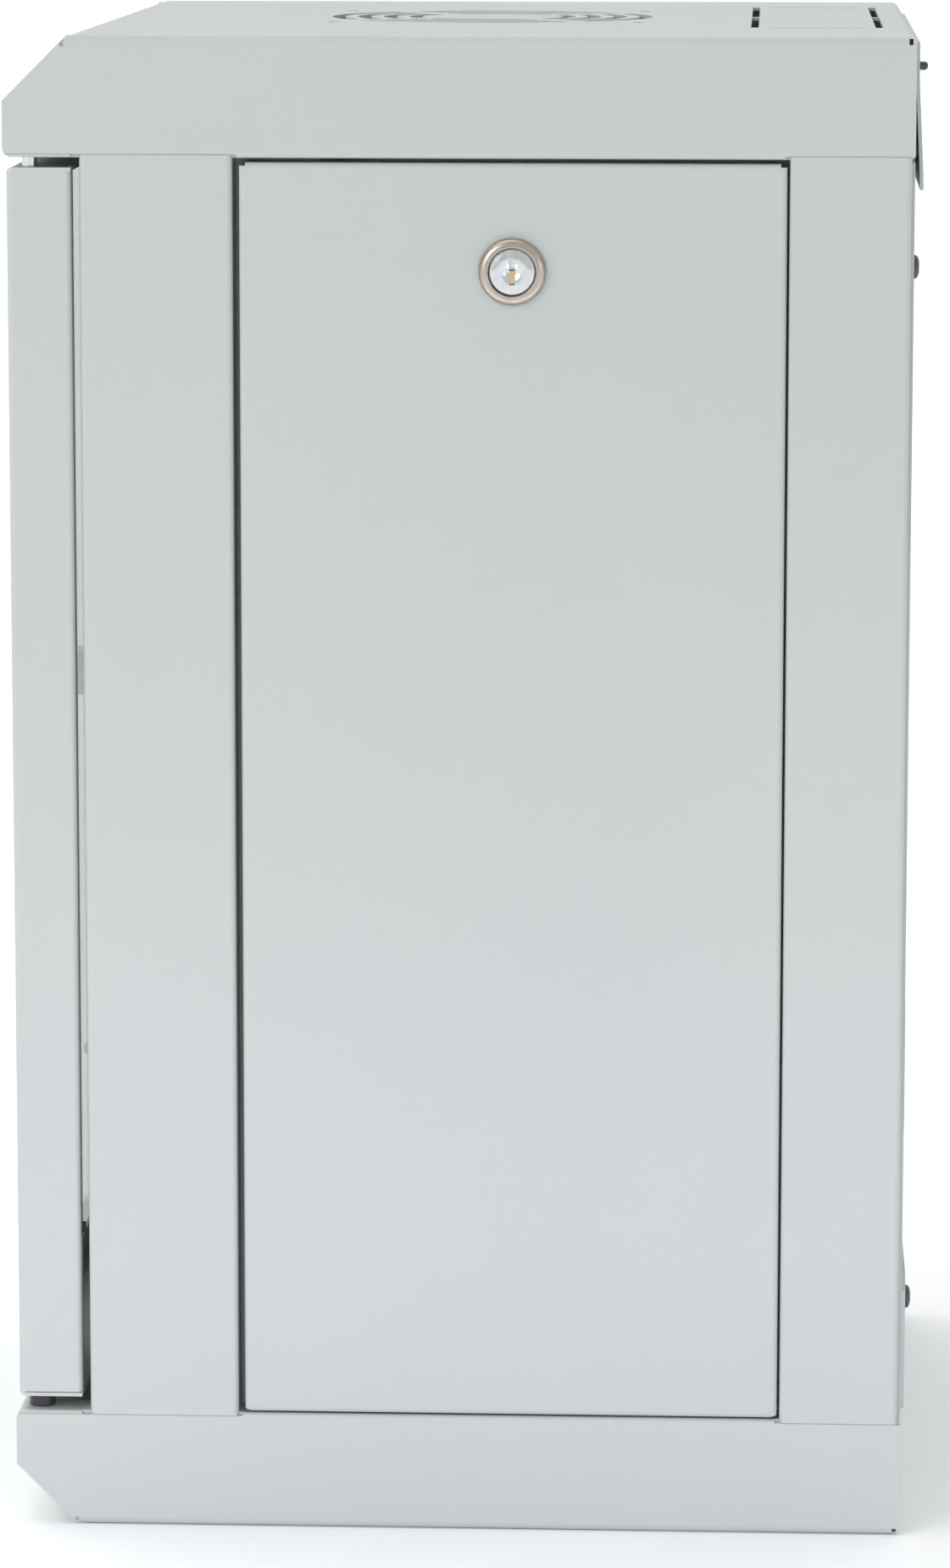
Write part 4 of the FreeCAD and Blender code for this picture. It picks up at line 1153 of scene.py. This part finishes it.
@dataclass
class PanScrew:
    """A pan-head screw with a cross recess, a rolled thread and a rounded tip."""

    head_radius: float = 3.95 * MM
    head_height: float = 1.9 * MM
    shank_radius: float = 2.3 * MM
    length: float = 9.0 * MM
    tip: float = 0.5 * MM
    pitch: float = 0.8 * MM
    recess: float = 2.3 * MM
    segments: int = 40

    def unit(self) -> bpy.types.Object:
        """One screw along +Z, its seat at Z 0."""
        edge = 0.22 * self.head_height
        crown = rounded(
            (self.head_radius, edge), (self.head_radius * 0.3, self.head_height), 8
        )
        end = [
            (radius, -self.length - height)
            for radius, height in rounded((self.shank_radius, -self.tip), (0.0, 0.0), 5)
        ][::-1]
        profile = [
            *end,
            (self.shank_radius, 0.0),
            (self.head_radius - 0.1 * MM, 0.0),
            (self.head_radius, 0.1 * MM),
            *crown,
            (0.0, self.head_height),
        ]
        screw = Solid().turned(profile, self.segments).object("screw")
        first = carved(screw, self._wing(0.0), 30)
        whole = take_mesh(carved(first, self._wing(math.pi / 2), 30))
        start, end = -self.length + self.tip, -self.pitch
        made = threaded(whole, self.shank_radius, start, end, self.pitch)
        return link("screw", made)

    def _wing(self, turn: float) -> bpy.types.Object:
        """One blade of the cross recess."""
        blade = Solid().extruded(
            rectangle(self.recess, 0.27 * self.recess),
            0.35 * self.head_height,
            self.head_height + 0.2 * MM,
            Matrix.Rotation(turn, 4, "Z"),
            1.7,
        )
        return blade.object("wing")


@dataclass
class HexNut:
    """A nut with turned-down corners, two of them level, and a round bore."""

    across_flats: float
    height: float
    bore_radius: float

    @property
    def reach(self) -> tuple[float, float]:
        """How far it reaches from its axis, across and up."""
        return self.across_flats / 2 / math.cos(math.pi / 6), self.across_flats / 2

    def unit(self) -> bpy.types.Object:
        """One nut along +Z, its seat at Z 0."""
        corner, flat = self.reach
        rise = min((corner - flat) * 0.6, self.height * 0.2)
        envelope = [
            (0.0, 0.0),
            (flat, 0.0),
            (corner * 1.01, rise),
            (corner * 1.01, self.height - rise),
            (flat, self.height),
            (0.0, self.height),
        ]
        past = self.height + MM
        blank = Solid().turned(envelope, 48).object("nut")
        turn = Matrix.Rotation(math.pi / 6, 4, "Z")
        prism = Solid().extruded(polygon(6, self.across_flats), -MM, past, turn)
        flats = carved(blank, prism.object("prism"), 25, "INTERSECT")
        hole = self.bore_radius
        wall = [(0.0, -MM), (hole, -MM), (hole, past), (0.0, past)]
        return carved(flats, Solid().turned(wall, 32).object("bore"), 25)


@dataclass
class ThreadedStud:
    """A threaded stud with a domed end."""

    radius: float
    length: float
    pitch: float

    @property
    def reach(self) -> tuple[float, float]:
        """How far it reaches from its axis, across and up."""
        return self.radius, self.radius

    def unit(self) -> bpy.types.Object:
        """One stud along +Z, its foot at Z 0."""
        body = self.radius - 0.12 * MM
        crown = rounded((body, self.length - 0.5 * MM), (0.0, self.length), 5)
        plain = Solid().turned([(0.0, 0.0), (body, 0.0), *crown], 32).mesh("stud")
        low, high = 0.6 * MM, self.length - 0.9 * MM
        return link("stud", threaded(plain, self.radius, low, high, self.pitch))


@dataclass
class FlangedScrew:
    """The hexagon screw with a washer face that holds a cam on its plug."""

    washer_radius: float = 5.95 * MM
    washer_height: float = 1.0 * MM
    across_flats: float = 8.0 * MM

    def mesh(self, height: float) -> bpy.types.Mesh:
        """One screw's head along +Z, its washer face at Z 0.

        Args:
            height: How far its head stands out.

        Returns:
            Its mesh.
        """
        inner = self.across_flats / 2 + 0.4 * MM
        washer = [
            (0.0, 0.0),
            (self.washer_radius - 0.1 * MM, 0.0),
            (self.washer_radius, 0.1 * MM),
            (self.washer_radius, self.washer_height * 0.55),
            (inner, self.washer_height),
            (0.0, self.washer_height),
        ]
        disc = Solid().turned(washer, 48).mesh("washer")
        hexagon = HexNut(self.across_flats, height - 0.9 * self.washer_height, 1.2 * MM)
        head = take_mesh(hexagon.unit())
        head.transform(Matrix.Translation((0, 0, 0.9 * self.washer_height)))
        foot = 0.95 * self.washer_height
        core = [
            (0.0, foot),
            (1.3 * MM, foot),
            (1.3 * MM, height - 0.5 * MM),
            (0.0, height - 0.9 * MM),
        ]
        dimple = Solid().turned(core, 24).mesh("dimple")
        return joined([disc, head, dimple], "cam_screw")


@dataclass
class Hardware:
    """The screws, nuts, studs and the spring that hold the cabinet together."""

    screw: PanScrew = field(default_factory=PanScrew)
    bolt: PanScrew = field(
        default_factory=lambda: PanScrew(
            3.0 * MM, 1.8 * MM, 1.42 * MM, 6.0 * MM, 1.1 * MM, 0.5 * MM, 1.7 * MM
        )
    )
    large_nut: HexNut = field(
        default_factory=lambda: HexNut(8.0 * MM, 4.0 * MM, 2.5 * MM)
    )
    spring_turns: float = 8.0
    spring_wire: float = 0.4 * MM
    pin_draw: float = 8.5 * MM

    def build(self, shop: Workshop) -> None:
        """Puts real fasteners in place of the plain ones."""
        self._rear_screws(shop)
        self._bolts(shop)
        small_nut = HexNut(5.5 * MM, 2.4 * MM, 1.5 * MM)
        stud = ThreadedStud(1.5 * MM, 6.0 * MM, 0.5 * MM)
        self._grid(shop, "rear_weld_nuts", "cabinet", self.large_nut)
        self._grid(shop, "retainer_studs", "door", stud)
        self._grid(shop, "retainer_nuts", "door", small_nut)
        self._rails(shop)
        self._earth(shop)
        self._spring(shop)

    def _grid(
        self, shop: Workshop, node: str, body: str, fastener: HexNut | ThreadedStud
    ) -> None:
        """Four of one fastener facing the rear, one at each corner of a node's box.

        Args:
            shop: The workshop.
            node: The node that they stand for.
            body: The body that they ride on.
            fastener: What repeats.
        """
        low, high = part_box(node)
        across, up = fastener.reach
        width, height = high.x - low.x - 2 * across, high.z - low.z - 2 * up
        mesh = Pattern(width, height, spin=0.0).mesh(node, fastener.unit())
        place = Side.REAR.place(Side.REAR.ends(node)[1])
        shop.add(mesh, node + "_fine", body, Slot.ZINC, [node], place)

    def _row(
        self, unit: bpy.types.Object, across: float, up: float, seed: int, place: Matrix
    ) -> bpy.types.Mesh:
        """Two of one fastener, each turned by its own amount.

        Args:
            unit: One of them, along +Z.
            across: From one to the other, level.
            up: From one to the other, upwards.
            seed: The seed of their turns.
            place: Where their middle goes.

        Returns:
            Their mesh, in place.
        """
        columns, rows = (2, 1) if across else (1, 2)
        mesh = Pattern(across, up, columns, rows, seed=seed).mesh("row", unit)
        mesh.transform(place)
        return mesh

    def _rear_screws(self, shop: Workshop) -> None:
        """The four black screws of the rear panel, two on it and two on the bracket."""
        low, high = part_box("rear_panel_screws")
        reach = self.screw.head_radius
        across = high.x - low.x - 2 * reach
        seats = (
            (low.z + reach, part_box("lower_wall_bracket")[1].y),
            (high.z - reach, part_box("rear_panel")[1].y),
        )
        rows = []
        for seed, (height, seat) in enumerate(seats, 21):
            place = Side.REAR.place(Vector((0, seat, height)))
            rows.append(self._row(self.screw.unit(), across, 0.0, seed, place))
        shop.add(
            joined(rows, "rear_screws"), "rear_screws", "cabinet",
            Slot.BLACK_STEEL, ["rear_panel_screws"],
        )

    def _bolts(self, shop: Workshop) -> None:
        """The two black bolts of the hanging bracket, their rounded ends outside."""
        low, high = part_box("hanging_bracket_bolts")
        across = high.x - low.x - 2 * self.bolt.head_radius
        seat = Vector((0, low.y + self.bolt.head_height, (low.z + high.z) / 2))
        mesh = self._row(self.bolt.unit(), across, 0.0, 31, Side.FRONT.place(seat))
        shop.add(
            mesh, "bracket_bolts", "cabinet", Slot.BLACK_STEEL,
            ["hanging_bracket_bolts"],
        )

    def _rails(self, shop: Workshop) -> None:
        """The screws and nuts that clamp the rails to their carriers."""
        low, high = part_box("rail_screws")
        up = high.z - low.z - 2 * self.screw.head_radius
        middle = (low + high) / 2
        nut_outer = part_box("rail_nuts")[1].x
        screws, nuts = [], []
        for sign, outer in ((1, Side.RIGHT), (-1, Side.LEFT)):
            middle.x = sign * (high.x - self.screw.length)
            place = outer.opposite().place(middle)
            screws.append(self._row(self.screw.unit(), 0.0, up, 40 + sign, place))
            middle.x = sign * (nut_outer - self.large_nut.height)
            place = outer.place(middle)
            nuts.append(self._row(self.large_nut.unit(), 0.0, up, 50 + sign, place))
        for name, rows in (("rail_screws", screws), ("rail_nuts", nuts)):
            mesh = joined(rows, name)
            shop.add(mesh, name + "_fine", "cabinet", Slot.ZINC, [name])

    def _earth(self, shop: Workshop) -> None:
        """The brass earth stud and its nut."""
        low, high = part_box("earth_stud")
        foot = foot_of("earth_stud")
        stud = ThreadedStud(3.0 * MM, high.z - low.z, 1.0 * MM)
        shop.add(
            take_mesh(stud.unit()), "earth_stud_fine", "cabinet", Slot.BRASS,
            ["earth_stud"], Matrix.Translation(foot),
        )
        nut_low, nut_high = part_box("earth_nut")
        nut = HexNut(nut_high.y - nut_low.y, nut_high.z - nut_low.z, 3.0 * MM)
        foot.z = nut_low.z
        shop.add(
            take_mesh(nut.unit()), "earth_nut_fine", "cabinet", Slot.ZINC,
            ["earth_nut"], Matrix.Translation(foot),
        )

    def _spring(self, shop: Workshop) -> None:
        """The round-wire spring of the hinge pin."""
        low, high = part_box("hinge_spring")
        wire = self.spring_wire
        height = high.z - low.z - 2 * wire
        radius = (high.x - low.x) / 2 - wire
        coil = Coil(radius, height / self.spring_turns, self.spring_turns, wire, 10, 28)
        mesh = coil.mesh("spring")
        foot = foot_of("hinge_spring")
        piece = shop.add(
            mesh, "pin_spring", "door", Slot.SPRING, ["hinge_spring"],
            Matrix.Translation(foot + Vector((0, 0, wire))),
        )
        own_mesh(piece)


@dataclass
class FoldBead:
    """The bead of coat that closes a tray's sloping plate at its relief cuts."""

    name: str
    node: str
    chamfer: float
    back: float
    height: float
    upward: bool
    recess: float = 0.8 * MM
    sheet: float = 1.2 * MM
    width: float = 1.3 * MM
    tab: float = 0.4 * MM

    def _outline(self, cheek: bool) -> list[tuple[float, float]]:
        """Its section: how far behind the tray's front, and how far in from its plate.

        Args:
            cheek: Whether it fills the side flange's cut or the sloping plate's.
        """
        fold = self.chamfer + (0.0 if cheek else self.recess * math.sqrt(2))
        start = self.chamfer - self.back - self.width / 2
        end = start + self.width
        near = self.sheet + self.back / 2
        far = near + self.height
        points = [(start, min(max(fold - start, near), far - 0.05 * MM))]
        if fold - end < near < fold - start:
            points.append((fold - near, near))
        points.append((end, max(fold - end, near)))
        return [*points, (end, far), (start, far)]

    def build(self, shop: Workshop) -> None:
        """Lays the bead along the fold, with a small tab in each side flange's cut."""
        low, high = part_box(self.node)
        inner = high.x - self.sheet
        level, sign = (high.z, -1) if self.upward else (low.z, 1)
        stand = Matrix(
            ((0, 0, 1, 0), (1, 0, 0, low.y), (0, sign, 0, level), (0, 0, 0, 1))
        )
        bead = Solid().extruded(self._outline(False), -inner, inner, stand)
        for side in (-1, 1):
            ends = sorted((side * inner, side * (inner + self.tab)))
            bead.extruded(self._outline(True), *ends, stand)
        mesh = bead.mesh(self.name)
        smoothed(mesh, 20)
        shop.add(mesh, self.name, "cabinet", Slot.POWDER)


# ---------------------------------------------------------------- stage


@dataclass(frozen=True)
class Window:
    """A brighter patch of the room's light, like a soft box."""

    aim: Colour
    inner: float
    outer: float
    power: float


@dataclass(frozen=True)
class SoftPanel:
    """A rectangular soft light that looks at a point."""

    name: str
    at: Colour
    aim: Colour
    width: float
    height: float
    watts: float
    colour: Colour

    def build(self) -> None:
        """Hangs the light."""
        data = bpy.data.lights.new(self.name, "AREA")
        data.shape = "RECTANGLE"
        data.size, data.size_y = self.width, self.height
        data.energy = self.watts
        data.color = self.colour
        lamp = link(self.name, data)
        lamp.location = self.at
        way = Vector(self.aim) - Vector(self.at)
        lamp.rotation_euler = way.to_track_quat("-Z", "Y").to_euler()
        lamp.visible_camera = False


@dataclass(frozen=True)
class Studio:
    """The floor, the soft light round it and the camera."""

    floor_radius: float = 60.0
    floor_colour: Colour = (0.95, 0.96, 0.97)
    sky: Colour = (1.0, 1.0, 1.0)
    strength: float = 0.72
    windows: tuple[Window, ...] = (
        Window((-0.30, -0.25, 0.92), 0.93, 0.76, 1.5),
        Window((0.67, -0.57, 0.47), 0.985, 0.955, 2.6),
        Window((0.62, 0.74, 0.12), 0.99, 0.98, 1.6),
    )
    panels: tuple[SoftPanel, ...] = (
        SoftPanel(
            "low_panel", (0.48, 0.0, 0.035), (0.15, 0.0, 0.03), 1.4, 0.07, 0.82,
            (0.78, 0.80, 1.0),
        ),
        SoftPanel(
            "key_panel", (0.75, -0.70, 0.70), (0.1, 0.0, 0.3), 0.5, 0.5, 1.0,
            (1.0, 1.0, 0.97),
        ),
    )
    lens: float = 141.25
    camera_at: Colour = (2.17687, 0.10371, 0.58500)
    camera_turn: Colour = (80.786, -0.044, 92.776)

    def build(self) -> None:
        """Makes the stage."""
        self._floor()
        self._world()
        for panel in self.panels:
            panel.build()
        self._camera()

    def _floor(self) -> None:
        """A plain pale floor under the cabinet."""
        disc = Solid()
        steps = 96
        rim = [
            disc.shape.verts.new((*polar(self.floor_radius, k / steps), 0.0))
            for k in range(steps)
        ]
        disc.shape.faces.new(rim)
        mesh = bpy.data.meshes.new("floor")
        disc.shape.to_mesh(mesh)
        disc.shape.free()
        floor = link("floor", mesh)
        surface = Surface("floor")
        tone = surface.noise(0.8, 2)
        surface.set(
            Base_Color=surface.blended(
                tone, tuple(0.985 * c for c in self.floor_colour), self.floor_colour
            ),
            Roughness=0.85 + 0.05 * tone,
            Specular_IOR_Level=0.1,
        )
        floor.data.materials.append(surface.material)
        floor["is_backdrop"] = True

    def _world(self) -> None:
        """Even light from all round, with a few brighter windows."""
        world = bpy.data.worlds.new("studio")
        bpy.context.scene.world = world
        world.use_nodes = True
        graph = Graph(world.node_tree)
        world.node_tree.nodes.clear()
        way = graph.node("ShaderNodeTexCoord").outputs["Generated"]
        light: Any = self.strength
        for window in self.windows:
            dot = graph.node(
                "ShaderNodeVectorMath",
                {"operation": "DOT_PRODUCT"},
                {0: way, 1: Vector(window.aim).normalized()},
            )
            patch = graph.value(dot.outputs["Value"])
            light = light + patch.between(window.outer, window.inner) * window.power
        seen = graph.value(graph.node("ShaderNodeLightPath").outputs["Is Camera Ray"])
        back = graph.node(
            "ShaderNodeBackground",
            None,
            {"Color": (*self.sky, 1), "Strength": light * (1 - seen) + seen * 1.05},
        )
        graph.node("ShaderNodeOutputWorld", None, {"Surface": back})

    def _camera(self) -> None:
        """The camera, square to the right side and a little above its middle."""
        data = bpy.data.cameras.new("camera")
        data.lens = self.lens
        data.clip_start, data.clip_end = 0.01, 200.0
        camera = link("camera", data)
        camera.location = self.camera_at
        camera.rotation_euler = Euler([math.radians(v) for v in self.camera_turn])
        bpy.context.scene.camera = camera
        bpy.context.scene.view_settings.view_transform = "Standard"


def write_sizes(before: Sequence[Vector]) -> None:
    """Sets the frame's box and the finished model's box side by side; the pair is not
    kept.

    Args:
        before: The lowest and highest corner straight after loading.
    """
    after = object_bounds()
    ({
            "cad": [list(corner) for corner in before],
            "visual": [list(corner) for corner in after],
        })


def main() -> None:
    """Builds the looks from the frame outwards."""
    logging.basicConfig(level=logging.INFO, format="%(name)s: %(message)s")
    shop = Workshop()
    shop.dress_nodes()
    CamLock("right", Side.RIGHT, "side_panel_right", "side_lock_right").build(shop)
    CamLock("left", Side.LEFT, "side_panel_left", "side_lock_left").build(shop)
    CamLock("door", Side.FRONT, "door", "door_lock").build(shop)
    Hardware().build(shop)
    FoldBead("cap_bead", "top_cap", 22.2 * MM, 2.2 * MM, 2.0 * MM, True).build(shop)
    FoldBead("base_bead", "base_tray", 21.0 * MM, 0.6 * MM, 1.2 * MM, False).build(shop)
    Studio().build()
    write_sizes(shop.box)


if __name__ == "__main__":
    main()
